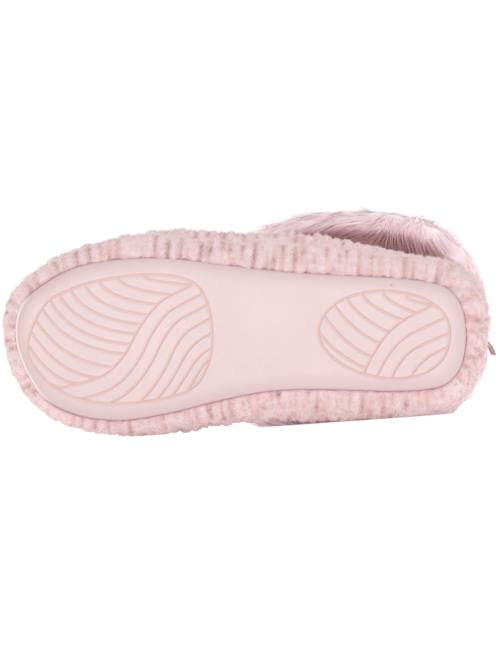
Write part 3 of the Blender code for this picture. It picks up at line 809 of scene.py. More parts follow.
rubber = Finish("sole_rubber_pink", 0.5, Specular_IOR_Level=0.35)
land = rubber.ramp(rubber.noise(38.0, 3.0), (0.3, LAND_LOW), (0.7, LAND_HIGH))
speckle = rubber.ramp(rubber.noise(0.55, 2.0), (0.35, SPECKLE_LOW), (0.65, SPECKLE_HIGH))
land = rubber.mix(0.10, land, speckle)
# Painted shade: the rubber turns more mauve where it rounds up at the edge, a little less in the back half.
edge_shade_share = rubber.fade(rubber.attribute("inset"), (0.0, 0.95), (0.45, 0.0))
toe_shade_share = rubber.fade(rubber.attribute("toe"), (0.0, 0.85), (1.0, 1.0))
land = rubber.mix(rubber.mix(1.0, edge_shade_share, toe_shade_share, "MULTIPLY"), land, EDGE_SHADE_MAUVE)
# Painted shade: the groove floors turn peach, and a salmon line runs along each groove's steep wall.
land = rubber.mix(rubber.attribute("groove"), land, GROOVE_SHADE_PEACH)
lip_shade_share = rubber.fade(rubber.attribute("to_wall"), (0.0, 0.7), (0.05, 0.7), (0.13, 0.0))
land = rubber.mix(lip_shade_share, land, HOLLOW_SHADE_SALMON)
rim_share = rubber.fade(rubber.attribute("inset"), (0.0, 1.0), (0.055, 1.0), (0.085, 0.0))
rim_share = rubber.mix(1.0, rim_share, rubber.attribute("rim"), "MULTIPLY")
land = rubber.mix(rim_share, land, RIM_PALE)
# Painted shade: a dark line along the very edge of the sole at the seam, left off at the toe's pale rim.
seam_shade_share = rubber.fade(rubber.attribute("inset"), (0.0, 0.9), (0.02, 0.9), (0.045, 0.0))
no_rim = rubber.fade(rubber.attribute("rim"), (0.0, 1.0), (0.4, 0.0))
land = rubber.mix(rubber.mix(1.0, seam_shade_share, no_rim, "MULTIPLY"), land, SEAM_SHADE)
# Painted shade in the small hollow of the pip.
rubber.colour(rubber.mix(rubber.attribute("pip"), land, HOLLOW_SHADE_SALMON))
rubber.bump(rubber.noise(0.5, 2.0), 0.05)
rubber.bump(rubber.noise(9.0, 2.0), 0.2, 0.5)
rubber.on(sole)
print("rubber on", sole.name)

# %% [markdown]
# ## The plush upper
# The upper is sewn from a thick chenille plush: soft lobes stand side by side along the sole's seam,
# parted by narrow creases that fork and meet like a net. It is one hollow sock, so a torus is the right
# start: its rings run round the boot and its section goes up the outside, over the collar and down the
# lining. A cell pattern of stretched lobes, drawn along the seam and up from it, then lifts the outside
# point by point.

# %% Rows of the hollow sock
BAND_HEIGHT = 40.0
BAND_ROWS = 46
BODY_ROWS = 42
HIDDEN_ROWS = 4
LINING_ROWS = 22
LINING_PADDING = 5.5
PADDING_FADE = 30.0
CUFF_HEM_BACK = 86.0
CUFF_HEM_FRONT = 101.0
CUFF_COVER = 12.0

front_share = smooth_step((np.cos(collar_turn) + 0.2) / 1.2)
back_share = smooth_step((-np.cos(collar_turn) - 0.4) / 0.6)
cuff_hem = CUFF_HEM_BACK + (CUFF_HEM_FRONT - CUFF_HEM_BACK) * front_share


def run_at_height(level):
    """How far up each meridian, from the seam, the plush reaches a height."""
    return np.array([np.interp(level[k], meridians[:, k, 2], meridian_run[:, k]) for k in range(AROUND)])


def on_meridians(runs):
    """Points of the last at distances up from the seam, one row of distances for each row of points."""
    columns = []
    for k in range(AROUND):
        axes = [np.interp(runs[:, k], meridian_run[:, k], meridians[:, k, axis]) for axis in range(3)]
        columns.append(np.stack(axes, axis=1))
    return np.stack(columns, axis=1)


def surface_normals(rows):
    around = np.roll(rows, -1, axis=1) - np.roll(rows, 1, axis=1)
    normal = np.cross(around, np.gradient(rows, axis=0))
    return normal / np.linalg.norm(normal, axis=2, keepdims=True)


cover_run = run_at_height(cuff_hem + CUFF_COVER)
whole_run = meridian_run[-1]
band = np.linspace(0.0, BAND_HEIGHT, BAND_ROWS)[:, None] * np.ones(AROUND)
body_share = np.linspace(0.0, 1.0, BODY_ROWS + 1)[1:, None]
body = BAND_HEIGHT + body_share * (cover_run - BAND_HEIGHT)
hidden = cover_run + np.linspace(0.0, 1.0, HIDDEN_ROWS + 1)[1:, None] * (whole_run - cover_run)
outside_run = np.vstack([band, body, hidden])
outside = on_meridians(outside_run)
outside_normal = surface_normals(outside)
print("outside:", outside.shape[0], "rows of", AROUND)

# %% Lobes and creases
LOBE_WIDTH = 6.3
LOBE_HEIGHT = 24.0
LOBE_LIFT = 2.9
CREASE_SINK = 2.9
CROSS_CREASE = 0.35
CREASE_REACH = 1.5
CREASE_SHADE_POWER = 1.2
LOBE_ROWS = 26
FIRST_LEVEL = -18.0
LOBE_SIDEWAYS = 0.3
LOBE_UPWARD = 7.0
LOBE_BULK = (0.75, 1.15)

chance = np.random.default_rng(7)
lobe_rows = []
ring_length = np.linalg.norm(np.roll(outside, -1, axis=1) - outside, axis=2) * AROUND
for number in range(LOBE_ROWS):
    level = FIRST_LEVEL + LOBE_HEIGHT * number
    row = np.argmin(np.abs(outside_run.mean(axis=1) - level))
    count = max(8, round(ring_length[row].mean() / LOBE_WIDTH))
    lobe_rows.append(
        {
            "count": count,
            "shift": chance.uniform(0.0, 1.0),
            "sideways": chance.uniform(-LOBE_SIDEWAYS, LOBE_SIDEWAYS, count),
            "upward": chance.uniform(-LOBE_UPWARD, LOBE_UPWARD, count),
            "level": level,
            "size": chance.uniform(*LOBE_BULK, count),
        }
    )


def lobe_pattern(share, run, ring):
    """Lift from 0 in a crease to 1 on a lobe, painted crease shade that grows towards a crease, and the
    lobe's bulk.

    A place is given by its share of the way round, its distance from the seam and the length of its ring.
    """
    counts, shifts, levels = (np.array([r[key] for r in lobe_rows]) for key in ("count", "shift", "level"))
    table = np.zeros((3, len(lobe_rows), counts.max()))
    for k, r in enumerate(lobe_rows):
        table[:, k, : r["count"]] = r["sideways"], r["upward"], r["size"]
    nearest = np.round((run - FIRST_LEVEL) / LOBE_HEIGHT).astype(int)
    reach, owner, size = [], [], []
    for row_step in (-1, 0, 1):
        row = nearest + row_step
        count, shift, level = counts[row], shifts[row], levels[row]
        middle = np.round(share * count - shift).astype(int)
        for column_step in (-1, 0, 1):
            column = middle + column_step
            sideways, upward, bulk = table[:, row, column % count]
            gap = share - (column + shift + sideways) / count
            gap = (gap + 0.5) % 1.0 - 0.5
            across = gap * ring / (0.5 * LOBE_WIDTH)
            up = (run - level - upward) / (0.5 * LOBE_HEIGHT)
            reach.append(np.hypot(across, up))
            owner.append(row)
            size.append(bulk)
    reach, owner, size = (np.array(values) for values in (reach, owner, size))
    order = np.argsort(reach, axis=0)
    first, second = (np.take_along_axis(reach, order[k:k + 1], 0)[0] for k in (0, 1))
    same_row = np.take_along_axis(owner, order[:1], 0)[0] == np.take_along_axis(owner, order[1:2], 0)[0]
    bulk = np.take_along_axis(size, order[:1], 0)[0]
    edge = np.clip((second - first) / CREASE_REACH, 0.0, 1.0)
    crown = np.sqrt(1.0 - (1.0 - edge) ** 2)
    depth = np.where(same_row, 1.0, CROSS_CREASE)
    return 1.0 - depth * (1.0 - crown), depth * (1.0 - edge) ** CREASE_SHADE_POWER, bulk


share = np.arange(AROUND) / AROUND * np.ones_like(outside_run)
lobes, crease_shade, lobe_bulk = lobe_pattern(share, outside_run, ring_length)
print("lobes in the first rows:", [row["count"] for row in lobe_rows[:4]])

# %% Shape the sock
def blotches(points, size, seed):
    """Smooth random lumps from a few crossed waves, about so many millimetres across."""
    waves = np.random.default_rng(seed)
    total = np.zeros(points.shape[:-1])
    for _ in range(14):
        way = waves.normal(size=3)
        way *= 2.0 * math.pi / (size * waves.uniform(1.3, 2.6)) / np.linalg.norm(way)
        total += np.sin(points @ way + waves.uniform(0.0, 2.0 * math.pi))
    return total / math.sqrt(7.0)


# Soft folds where the boot bends over the instep and at the ankle: two ends in plan, depth and width.
FOLDS = (
    ((166.0, 52.0), (150.0, -52.0), 2.2, 7.0),
    ((147.0, 60.0), (138.0, -58.0), 2.6, 8.0),
    ((126.0, 62.0), (120.0, -62.0), 1.8, 9.0),
)
FOLD_WOBBLE = 3.0
FOLD_WAVE = 17.0
FOLD_START = 48.0
FOLD_RISE = 30.0


def fold_sink(points):
    """How far the folds pull the plush in, faded out towards the sole."""
    sink = np.zeros(points.shape[:-1])
    for outer, inner, depth, width in FOLDS:
        outer, inner = np.array(outer), np.array(inner)
        way = (inner - outer) / np.linalg.norm(inner - outer)
        off = points[..., :2] - outer
        across = off[..., 0] * -way[1] + off[..., 1] * way[0]
        across = across + FOLD_WOBBLE * np.sin(points[..., 1] / FOLD_WAVE + depth)
        sink += depth * np.exp(-((across / width) ** 2))
    return sink * smooth_step((points[..., 2] - FOLD_START) / FOLD_RISE)


SEAM_RISE = 1.6
SEAM_SHADE_HEIGHT = 1.8
SEAM_LAP = 1.7
LAP_HEIGHT = 2.6
LAP_DIP = 0.75
TOE_LAP_START = 195.0
TOE_LAP_RUN = 35.0
TOE_LAP_LOSS = 0.6
INNER_LAP = 0.5
CUFF_FADE = 14.0
HEEL_TUFT_REACH = 16.0
TUFT_SIZE = 2.6
TUFT_LIFT = 0.3
TUFT_SHADE = 0.3
HEEL_SHADE = 0.15
SWELL_SIZE = 42.0
SWELL_LIFT = 1.1
SWELL_RISE = 25.0
LUMP_SIZE = 7.0
LUMP_DEPTH = 0.5

from_seam = smooth_step(outside_run / SEAM_RISE)
under_cuff = smooth_step((cover_run - outside_run) / CUFF_FADE)
lift = (LOBE_LIFT * lobes * lobe_bulk - CREASE_SINK) * from_seam * under_cuff
heel = smooth_step((HEEL_TUFT_REACH - sole_outline[:, 0]) / HEEL_TUFT_REACH)
tufts = blotches(outside, TUFT_SIZE, 3)
# Painted shade: the crease shade grows over the heel, deepest between its small tufts.
crease_shade = np.clip(crease_shade + heel * (HEEL_SHADE - TUFT_SHADE * tufts), 0.0, 1.0)
lift += TUFT_LIFT * (1.0 + heel) * tufts * from_seam * under_cuff
lift += SWELL_LIFT * blotches(outside, SWELL_SIZE, 4) * smooth_step(outside_run / SWELL_RISE) * under_cuff
lift -= fold_sink(outside) * under_cuff
plush_skin = outside + lift[..., None] * outside_normal

# The lowest lobes bulge over the sole's edge and hide the seam here and there.
lap = np.exp(-((outside_run / LAP_HEIGHT) ** 2)) * lobes * lobe_bulk
lap *= 1.0 - TOE_LAP_LOSS * smooth_step((sole_outline[:, 0] - TOE_LAP_START) / TOE_LAP_RUN)
lap *= np.where(sole_outline[:, 1] > 0.0, 1.0, INNER_LAP)
lap_way = np.column_stack([-sole_out, np.full(AROUND, -LAP_DIP)])
plush_skin += SEAM_LAP * lap[..., None] * lap_way

# The fleece is thickest between seam and collar, so that no crease or fold of the plush reaches through it.
lining_run = np.linspace(1.0, 0.0, LINING_ROWS)[:, None] * whole_run
lining = on_meridians(lining_run)
padding = smooth_step(lining_run / PADDING_FADE) * smooth_step((whole_run - lining_run) / PADDING_FADE)
lining_depth = WALL + LINING_PADDING * padding + LUMP_DEPTH * blotches(lining, LUMP_SIZE, 5)
lining = lining - lining_depth[..., None] * surface_normals(lining[::-1])[::-1]
lining[0, :, 2] = COLLAR_HEIGHT
lining[-1] = outside[0] + np.array([0.0, 0.0, WALL])
section = np.concatenate([plush_skin, lining])

upper = start(
    bpy.ops.mesh.primitive_torus_add,
    "plush_upper",
    major_segments=AROUND,
    minor_segments=len(section),
    major_radius=1.0,
    minor_radius=0.25,
)


def torus_places(piece, rows):
    """The row and column of a section's points that each point of a fresh torus stands for."""
    ring = places_of(piece)
    turn = np.arctan2(ring[:, 1], ring[:, 0]) / (2.0 * math.pi)
    roll = np.arctan2(ring[:, 2], np.hypot(ring[:, 0], ring[:, 1]) - 1.0) / (2.0 * math.pi)
    column = np.round(turn * rows.shape[1]).astype(int) % rows.shape[1]
    row = np.round(roll * rows.shape[0]).astype(int) % rows.shape[0]
    return row, column


row, column = torus_places(upper, section)
set_places(upper, above_floor(laid(section[row, column])))
# The painted crease shade is stored for the plush's finish.
crease = np.concatenate([crease_shade, np.zeros(lining.shape[:2])])
lining_mark = np.concatenate([np.zeros(outside.shape[:2]), np.ones(lining.shape[:2])])
# Painted shade along the foot of the plush at the seam, left off round the toe's pale rim.
plush_seam_shade = 1.0 - toe_rim(sole_outline)
plush_seam_shade = plush_seam_shade * (1.0 - smooth_step(outside_run / SEAM_SHADE_HEIGHT))
seam_shade_near = np.concatenate([plush_seam_shade, np.zeros(lining.shape[:2])])
mark(upper, "crease", crease[row, column])
mark(upper, "lining", lining_mark[row, column])
mark(upper, "seam_shade_near", seam_shade_near[row, column])
shade_smooth(upper)
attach(upper, "root")
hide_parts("upper")
print("upper:", triangles(upper), "triangles")

# %% [markdown]
# ### The plush's finish
# Painted shade makes the chenille rosy and darker between its lobes, where the pile is deep, and at the
# foot of the plush along the seam; the crowns keep its pale colour. The lining inside is a plain, paler
# fleece. Both are matt with a soft sheen, and a fine bump stands for the pile that is too short to model.

# %% Plush
CROWN_LOW = (0.620, 0.482, 0.490)
CROWN_HIGH = (0.684, 0.547, 0.555)
CREASE_SHADE_SALMON = (0.620, 0.385, 0.360)
PLUSH_SEAM_SHADE = (0.470, 0.270, 0.265)
LINING_LOW = (0.78, 0.61, 0.61)
LINING_HIGH = (0.88, 0.72, 0.71)

plush = Finish("plush_rose", 0.95, Sheen_Weight=0.12, Sheen_Roughness=0.5, Specular_IOR_Level=0.1)
crown_colour = plush.ramp(plush.noise(5.0, 3.0), (0.3, CROWN_LOW), (0.7, CROWN_HIGH))
# Painted shade: the plush turns a darker salmon towards each crease.
crease_shade_share = plush.fade(plush.attribute("crease"), (0.15, 0.0), (0.9, 1.0))
pile = plush.mix(crease_shade_share, crown_colour, CREASE_SHADE_SALMON)
# Painted shade: the plush darkens just above the seam.
pile = plush.mix(plush.attribute("seam_shade_near"), pile, PLUSH_SEAM_SHADE)
fleece_colour = plush.ramp(plush.noise(4.0, 3.0), (0.3, LINING_LOW), (0.7, LINING_HIGH))
plush.colour(plush.mix(plush.attribute("lining"), pile, fleece_colour))
plush.bump(plush.noise(0.9, 3.0), 0.35)
plush.on(upper)
print("plush on", upper.name)

# %% [markdown]
# ## Strands of pile
# Fur is thousands of fine tapered hairs. Blender's hair system isn't kept as a mesh, so each hair here is
# a thin ribbon of its own, narrow at the tip, and all hairs of a region are one mesh. The ribbons lie
# flat side out with a little turn of their own, as combed hair does, so they take the light together and
# the coat looks soft.

# %% Ribbons from curves
STRAND_CLEARANCE = 0.0002


def strand_piece(name, curves, across, widths, tone):
    """A mesh of tapered ribbons. Curves holds each strand's points, in millimetres in the boot's frame."""
    count, steps = curves.shape[:2]
    half = 0.5 * widths[:, :-1, None] * across[:, None]
    sides = np.stack([curves[:, :-1] - half, curves[:, :-1] + half], axis=2).reshape(count, -1, 3)
    corners = np.concatenate([sides, curves[:, -1:]], axis=1)
    each = corners.shape[1]
    quads = np.array([[2 * k, 2 * k + 1, 2 * k + 3, 2 * k + 2] for k in range(steps - 2)]).reshape(-1, 4)
    tip = np.array([each - 3, each - 2, each - 1])
    offset = each * np.arange(count)[:, None]
    loops = np.concatenate([offset + quads.reshape(1, -1), offset + tip[None]], axis=1)
    sizes = np.tile(np.array([4] * len(quads) + [3]), count)
    mesh = bpy.data.meshes.new(name)
    mesh.vertices.add(count * each)
    mesh.vertices.foreach_set("co", above_floor(laid(corners.reshape(-1, 3)), STRAND_CLEARANCE).ravel())
    mesh.loops.add(loops.size)
    mesh.loops.foreach_set("vertex_index", loops.ravel().astype(np.int32))
    mesh.polygons.add(len(sizes))
    starts = np.concatenate([[0], np.cumsum(sizes)[:-1]])
    mesh.polygons.foreach_set("loop_start", starts.astype(np.int32))
    mesh.update(calc_edges=True)
    mesh.validate()
    piece = bpy.data.objects.new(name, mesh)
    scene.collection.objects.link(piece)
    along = np.concatenate([np.repeat(np.linspace(0.0, 1.0, steps)[:-1], 2), [1.0]])
    mark(piece, "along", np.tile(along, count))
    mark(piece, "tone", np.repeat(tone, each))
    return piece


def scatter(rows, weight, count, chance):
    """Random places on a surface of rows: their row and column, with the shares between them."""
    side = np.linalg.norm(np.roll(rows, -1, axis=1) - rows, axis=2)[:-1]
    rise = np.linalg.norm(np.diff(rows, axis=0), axis=2)
    chance_of = (side * rise * weight[:-1]).ravel()
    picked = chance.choice(chance_of.size, count, p=chance_of / chance_of.sum())
    row, column = np.divmod(picked, rows.shape[1])
    return row, column, chance.uniform(size=count), chance.uniform(size=count)


def between(values, spots):
    """Values on the rows of a surface, blended to scattered places."""
    row, column, up, on = spots
    if values.ndim == 3:
        up, on = up[:, None], on[:, None]
    following = (column + 1) % values.shape[1]
    low = values[row, column] * (1 - on) + values[row, following] * on
    high = values[row + 1, column] * (1 - on) + values[row + 1, following] * on
    return low * (1 - up) + high * up


def unit(ways):
    return ways / np.linalg.norm(ways, axis=-1, keepdims=True)


print("a strand through five points is a ribbon of", 2 * 3 + 1, "triangles")

# %% [markdown]
# ## The fur cuff
# The cuff is a band of long-pile fur fabric, folded over the collar. First comes its thick woolly body, a
# torus laid along the cuff's section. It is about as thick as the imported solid, and fuller at the outer
# back corner, where the picture shows more fur. Then the long hairs grow out of it in locks: hairs near
# each other lean to one shared tip, as real fur does.

# %% The cuff's body
CUFF_STEP = 2
CUFF_THICKNESS_FRONT = 15.5
CUFF_THICKNESS_SIDE = 20.5
CUFF_THICKNESS_BACK = 17.0
CUFF_SHOULDER = 4.0
SHOULDER_DEG = 137.0
SHOULDER_SPREAD = 24.0
CUFF_ROLL_BACK = 8.0
CUFF_ROLL_SPREAD = 0.25
# Reach out from the shaft as a share of the fur's thickness, and height as a share from hem to collar.
BODY_SECTION = (
    (0.26, -0.01),
    (0.62, -0.04),
    (0.93, 0.10),
    (1.05, 0.36),
    (1.03, 0.62),
    (0.86, 0.87),
    (0.50, 1.05),
    (0.12, 1.14),
)
LIP = -(WALL + GAP)
LIP_SIDE = 0.8
LIP_EDGE = 0.4
SHAFT_CLEARANCE = 0.5
RING_STEPS = 6
BODY_LUMP = 0.6
BODY_LUMP_SIZE = 8.0

cuff_columns = np.arange(0, AROUND, CUFF_STEP)
fur_thickness = CUFF_THICKNESS_SIDE + (CUFF_THICKNESS_BACK - CUFF_THICKNESS_SIDE) * back_share
fur_thickness += (CUFF_THICKNESS_FRONT - CUFF_THICKNESS_SIDE) * front_share
from_shoulder = (np.degrees(collar_turn) - SHOULDER_DEG) / SHOULDER_SPREAD
fur_thickness += CUFF_SHOULDER * np.exp(-(from_shoulder**2))
fur_thickness = fur_thickness[cuff_columns]
hem_level = cuff_hem[cuff_columns]


def cuff_row(reach, share, rise=0.0):
    """A ring round the shaft: reach out from it in millimetres, height as a share from hem to collar."""
    level = hem_level + share * (COLLAR_HEIGHT - hem_level)
    at = np.minimum(level, COLLAR_HEIGHT)
    plan = np.array(
        [
            [np.interp(z, meridians[:, k, 2], meridians[:, k, axis]) for axis in (0, 1)]
            for k, z in zip(cuff_columns, at)
        ]
    )
    return np.column_stack([plan + outward(plan) * np.reshape(reach, (-1, 1)), level + rise])


body_rings = [cuff_row(reach * fur_thickness, share) for reach, share in BODY_SECTION]
cuff_roll = CUFF_ROLL_BACK * smooth_step(1.0 - (1.0 + np.cos(collar_turn[cuff_columns])) / CUFF_ROLL_SPREAD)
# The lip goes over the collar's edge and in again: reach from the shaft, and height over the collar.
lip_rings = (
    (LIP - LIP_SIDE * cuff_roll, 5.8),
    (LIP - LIP_SIDE, 1.8),
    (LIP - LIP_EDGE, -2.4),
    (SHAFT_CLEARANCE, 0.6),
)
body_rings += [cuff_row(reach, 1.0, rise) for reach, rise in lip_rings]
body_rings += [cuff_row(SHAFT_CLEARANCE, share) for share in (0.66, 0.33, 0.02)]
body_rings = np.array(body_rings)
cuff_rows = through(body_rings.reshape(len(body_rings), -1), closed=True, per_span=RING_STEPS)
cuff_rows = cuff_rows.reshape(-1, len(cuff_columns), 3)
cuff_normal = surface_normals(np.concatenate([cuff_rows[-1:], cuff_rows, cuff_rows[:1]]))[1:-1]
cuff_rows = cuff_rows + BODY_LUMP * blotches(cuff_rows, BODY_LUMP_SIZE, 11)[..., None] * cuff_normal
cuff_body = start(
    bpy.ops.mesh.primitive_torus_add,
    "fur_body",
    major_segments=len(cuff_columns),
    minor_segments=len(cuff_rows),
    major_radius=1.0,
    minor_radius=0.25,
)
row, column = torus_places(cuff_body, cuff_rows)
set_places(cuff_body, above_floor(laid(cuff_rows[row, column])))
shade_smooth(cuff_body)
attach(cuff_body, "root")
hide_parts("fur_cuff")
print("fur body:", triangles(cuff_body), "triangles")

# %% Grow the long hairs
HAIR_LENGTH = 18.0
HAIR_WIDTH = 0.38
HAIRS = 7500
LOCKS = 450
LOCK_PULL = 0.2
LOCK_GATHER = 1.4
HAIR_TWIST = 0.12
LOCK_TONE = 0.6
PARTING_DEG = 118.0
PARTING_SPREAD = 18.0
PARTING_WANDER = 9.0
PARTING_WANDER_SIZE = 16.0
STREAK_REACH = 7
# Where the hem shades the fur: height above the hem, and reach from the shaft as a share of the thickness.
HEM_SHADE_TOP = 9.0
HEM_SHADE_FADE = 8.0
HEM_SHADE_REACH = 0.40
HEM_SHADE_SPREAD = 0.36
# How much denser the hairs grow at the parting and on top.
PARTING_DENSE = 0.6
PARTING_DENSE_DEG = 25.0
TOP_DENSE = 0.8
# How much longer a hair is on top, and how much shorter at the back and in the hem's shade.
TOP_GAIN = 0.25
BACK_LOSS = 0.33
SHADE_LOSS = 0.65
# A hair's way out of the skin: up, along the comb, and down the cuff, more so where no comb goes.
HAIR_STAND = 0.07
HAIR_COMB = 0.85
HAIR_DOWN = 0.25
STILL_DOWN = 0.6
HAIR_JITTER = 0.08
# A hair's bend along its length: to the floor, along the comb, to the sole, and in towards the shaft.
FLOOR_BEND = 0.15
COMB_BEND = 0.3
SOLE_BEND = 0.15
RING_BEND = 0.28
STILL_BEND = 0.4
BEND_JITTER = 0.07
HAIR_STEPS = np.array([0.0, 0.25, 0.5, 0.78, 1.0])
HAIR_TAPER = np.array([0.9, 1.0, 0.85, 0.5, 0.0])
UP = np.array([0.0, 0.0, 1.0])
GRAVITY = -LYING_TURN[2]

hair_rows = RING_STEPS * (len(BODY_SECTION) + 1)
haired = cuff_rows[:hair_rows]
haired_normal = cuff_normal[:hair_rows]
ring_out = np.column_stack([outward(cuff_rows[3 * RING_STEPS, :, :2]), np.zeros(len(cuff_columns))])
# The pile is combed round the cuff both ways, away from a wavy parting on the outer side.
from_parting = np.degrees(collar_turn[cuff_columns]) - PARTING_DEG
from_parting = from_parting + PARTING_WANDER * blotches(haired, PARTING_WANDER_SIZE, 13)
ring_flow = np.column_stack([-ring_out[:, 1], ring_out[:, 0], np.zeros(len(cuff_columns))])
ring_flow = ring_flow * np.tanh(from_parting / PARTING_SPREAD)[..., None]
ring_out = np.broadcast_to(ring_out, haired.shape)
ring_back = np.broadcast_to(back_share[cuff_columns], haired.shape[:2])
off_floor = 0.5 + 0.5 * smooth_step(ring_out[0, :, 1] + 0.3)
shaft_line = cuff_row(0.0, 0.0)[:, :2]


def hem_shade(points):
    """How dark the fur is where it turns under towards the shaft, from 0 to 1."""
    found = nearest_on(points.reshape(-1, 3)[:, :2], shaft_line)
    nearest, distance = (values.reshape(points.shape[:-1]) for values in found)
    under = smooth_step((hem_level[nearest] + HEM_SHADE_TOP - points[..., 2]) / HEM_SHADE_FADE)
    out = smooth_step((distance / fur_thickness[nearest] - HEM_SHADE_REACH) / HEM_SHADE_SPREAD)
    return under * off_floor[nearest] * (1.0 - out)


root_shade = hem_shade(haired)
hair_weight = 1.0 + PARTING_DENSE * np.exp(-((from_parting / PARTING_DENSE_DEG) ** 2))
hair_weight = hair_weight + TOP_DENSE * np.clip(haired_normal[..., 2], 0.0, 1.0)


def hair_curves(spots, length, chance):
    """Each hair's points: out of the skin, laid over along the comb's way, and sagging to the floor."""
    surfaces = (haired, haired_normal, ring_out, ring_flow)
    root, normal, out, flow = (between(values, spots) for values in surfaces)
    normal, out = unit(normal), unit(out)
    back = between(ring_back, spots)
    shade = between(root_shade, spots)
    still = 1.0 - np.linalg.norm(flow, axis=1, keepdims=True)
    top = np.clip(normal[:, 2:], 0.0, 1.0)
    growth = 1.0 + TOP_GAIN * top[:, 0] - BACK_LOSS * back * (1.0 - top[:, 0])
    length = length * growth * (1.0 - SHADE_LOSS * shade)
    down = normal[:, 2:] * out - (normal * out).sum(axis=1, keepdims=True) * UP
    way = HAIR_STAND * normal + HAIR_COMB * flow + (HAIR_DOWN + STILL_DOWN * still) * down
    way = unit(way + HAIR_JITTER * chance.normal(size=way.shape))
    bend = FLOOR_BEND * GRAVITY + COMB_BEND * flow - SOLE_BEND * UP
    bend = bend - (RING_BEND + STILL_BEND * still * (1.0 - top)) * out
    bend = bend + BEND_JITTER * chance.normal(size=way.shape)
    s = HAIR_STEPS[None, :, None]
    return root[:, None] + length[:, None, None] * (s * way[:, None] + 0.5 * s**2 * bend[:, None]), normal


def fur_piece(name, seed):
    """One layer of long hairs, gathered in locks."""
    chance = np.random.default_rng(seed)
    lock_spots = scatter(haired, hair_weight, LOCKS, chance)
    lock_curves, _ = hair_curves(lock_spots, HAIR_LENGTH * chance.uniform(0.95, 1.1, LOCKS), chance)
    lock_tone = chance.uniform(0.0, 1.0, LOCKS)
    tree = kdtree.KDTree(LOCKS)
    for number, curve in enumerate(lock_curves):
        tree.insert(curve[0], number)
    tree.balance()
    spots = scatter(haired, hair_weight, HAIRS, chance)
    curves, normal = hair_curves(spots, HAIR_LENGTH * chance.uniform(0.6, 1.1, HAIRS), chance)
    owner = np.array([tree.find(root)[1] for root in curves[:, 0]])
    pull = LOCK_PULL * chance.uniform(0.6, 1.15, HAIRS)[:, None] * HAIR_STEPS**LOCK_GATHER
    curves = curves + pull[:, :, None] * (lock_curves[owner] - curves)
    along = curves[:, 2] - curves[:, 0]
    across = unit(np.cross(along, normal + HAIR_TWIST * chance.normal(size=normal.shape)))
    widths = HAIR_WIDTH * chance.uniform(0.6, 1.2, HAIRS)[:, None] * HAIR_TAPER
    tone = LOCK_TONE * lock_tone[owner] + (1.0 - LOCK_TONE) * chance.uniform(size=HAIRS)
    piece = strand_piece(name, curves, across, widths, tone)
    shade = hem_shade(curves)
    mark(piece, "light", 1.0 - np.hstack([np.repeat(shade[:, :-1], 2, axis=1), shade[:, -1:]]))
    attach(piece, "root")
    return piece


mark(cuff_body, "light", 1.0 - hem_shade(cuff_rows)[row, column])
streaks = averaged(np.random.default_rng(23).normal(size=cuff_rows.shape[1::-1]), STREAK_REACH).T
mark(cuff_body, "streak", 0.5 + 0.25 * (streaks / streaks.std())[row, column])
fur_layers = [
    fur_piece("fur_pile_inner", 21),
    fur_piece("fur_pile_outer", 22),
]
print("fur:", [triangles(layer) for layer in fur_layers], "triangles")

# %% [markdown]
# ### The fur's finish
# The fur is a pale pink all over. Each hair runs from a warmer pink at its root to a cool pinkish white
# at its tip, by the stored distance along it, and each lock is a touch darker or paler than its
# neighbours. The woolly body under the hairs has soft streaks of the same pinks. Both turn a brownish
# rose under the hem, where the fur folds in towards the shaft and little light gets in.

# %% Fur
# A hair's colours from root to tip.
HAIR_COLOURS = (
    (0.0, (0.84, 0.66, 0.685)),
    (0.25, (0.87, 0.715, 0.74)),
    (0.65, (0.88, 0.735, 0.765)),
    (1.0, (0.93, 0.82, 0.845)),
)
DARK_LOCK = (0.95, 0.89, 0.91)
HEM_DARK = (0.58, 0.40, 0.39)
HEM_PALE = (0.88, 0.78, 0.78)
WOOL_LOW = (0.78, 0.615, 0.64)
WOOL_HIGH = (0.855, 0.708, 0.738)
WOOL_HEM = (0.55, 0.37, 0.36)

fur = Finish("fur_pale_pink", 0.8, Sheen_Weight=0.4, Sheen_Roughness=0.5, Specular_IOR_Level=0.2)
along_colour = fur.ramp(fur.attribute("along"), *HAIR_COLOURS)
tone_colour = fur.ramp(fur.attribute("tone"), (0.0, DARK_LOCK), (1.0, WHITE))
hem_colour = fur.ramp(fur.attribute("light"), (0.0, HEM_DARK), (0.5, HEM_PALE), (1.0, WHITE))
fur.colour(fur.mix(1.0, fur.mix(1.0, along_colour, tone_colour, "MULTIPLY"), hem_colour, "MULTIPLY"))
for layer in fur_layers:
    fur.on(layer)

fur_root = Finish("fur_root_rose", 0.95, Sheen_Weight=0.2, Specular_IOR_Level=0.1, Subsurface_Weight=0.6)
fur_root.shader.inputs["Subsurface Radius"].default_value = (1.0, 0.8, 0.8)
fur_root.shader.inputs["Subsurface Scale"].default_value = 6.0 * MM
wool = fur_root.ramp(fur_root.attribute("streak"), (0.1, WOOL_LOW), (0.9, WOOL_HIGH))
wool_shade = fur_root.ramp(fur_root.attribute("light"), (0.0, WOOL_HEM), (0.7, WHITE))
fur_root.colour(fur_root.mix(1.0, wool, wool_shade, "MULTIPLY"))
fur_root.bump(fur_root.attribute("streak"), 0.8)
fur_root.bump(fur_root.noise(1.2, 3.0), 0.3)
fur_root.on(cuff_body)
print("fur on", len(fur_layers), "layers and a body")

# %% [markdown]
# ## Fuzz on the plush
# The chenille's own pile is only about two millimetres long, but it is what blurs the plush's outline and
# makes its lobes look soft. Each hair is one small triangle, denser in the band along the sole that the
# picture shows from close by. It lies along the nap of the shaped lobes, flat side out, so that it shades
# as the plush does.

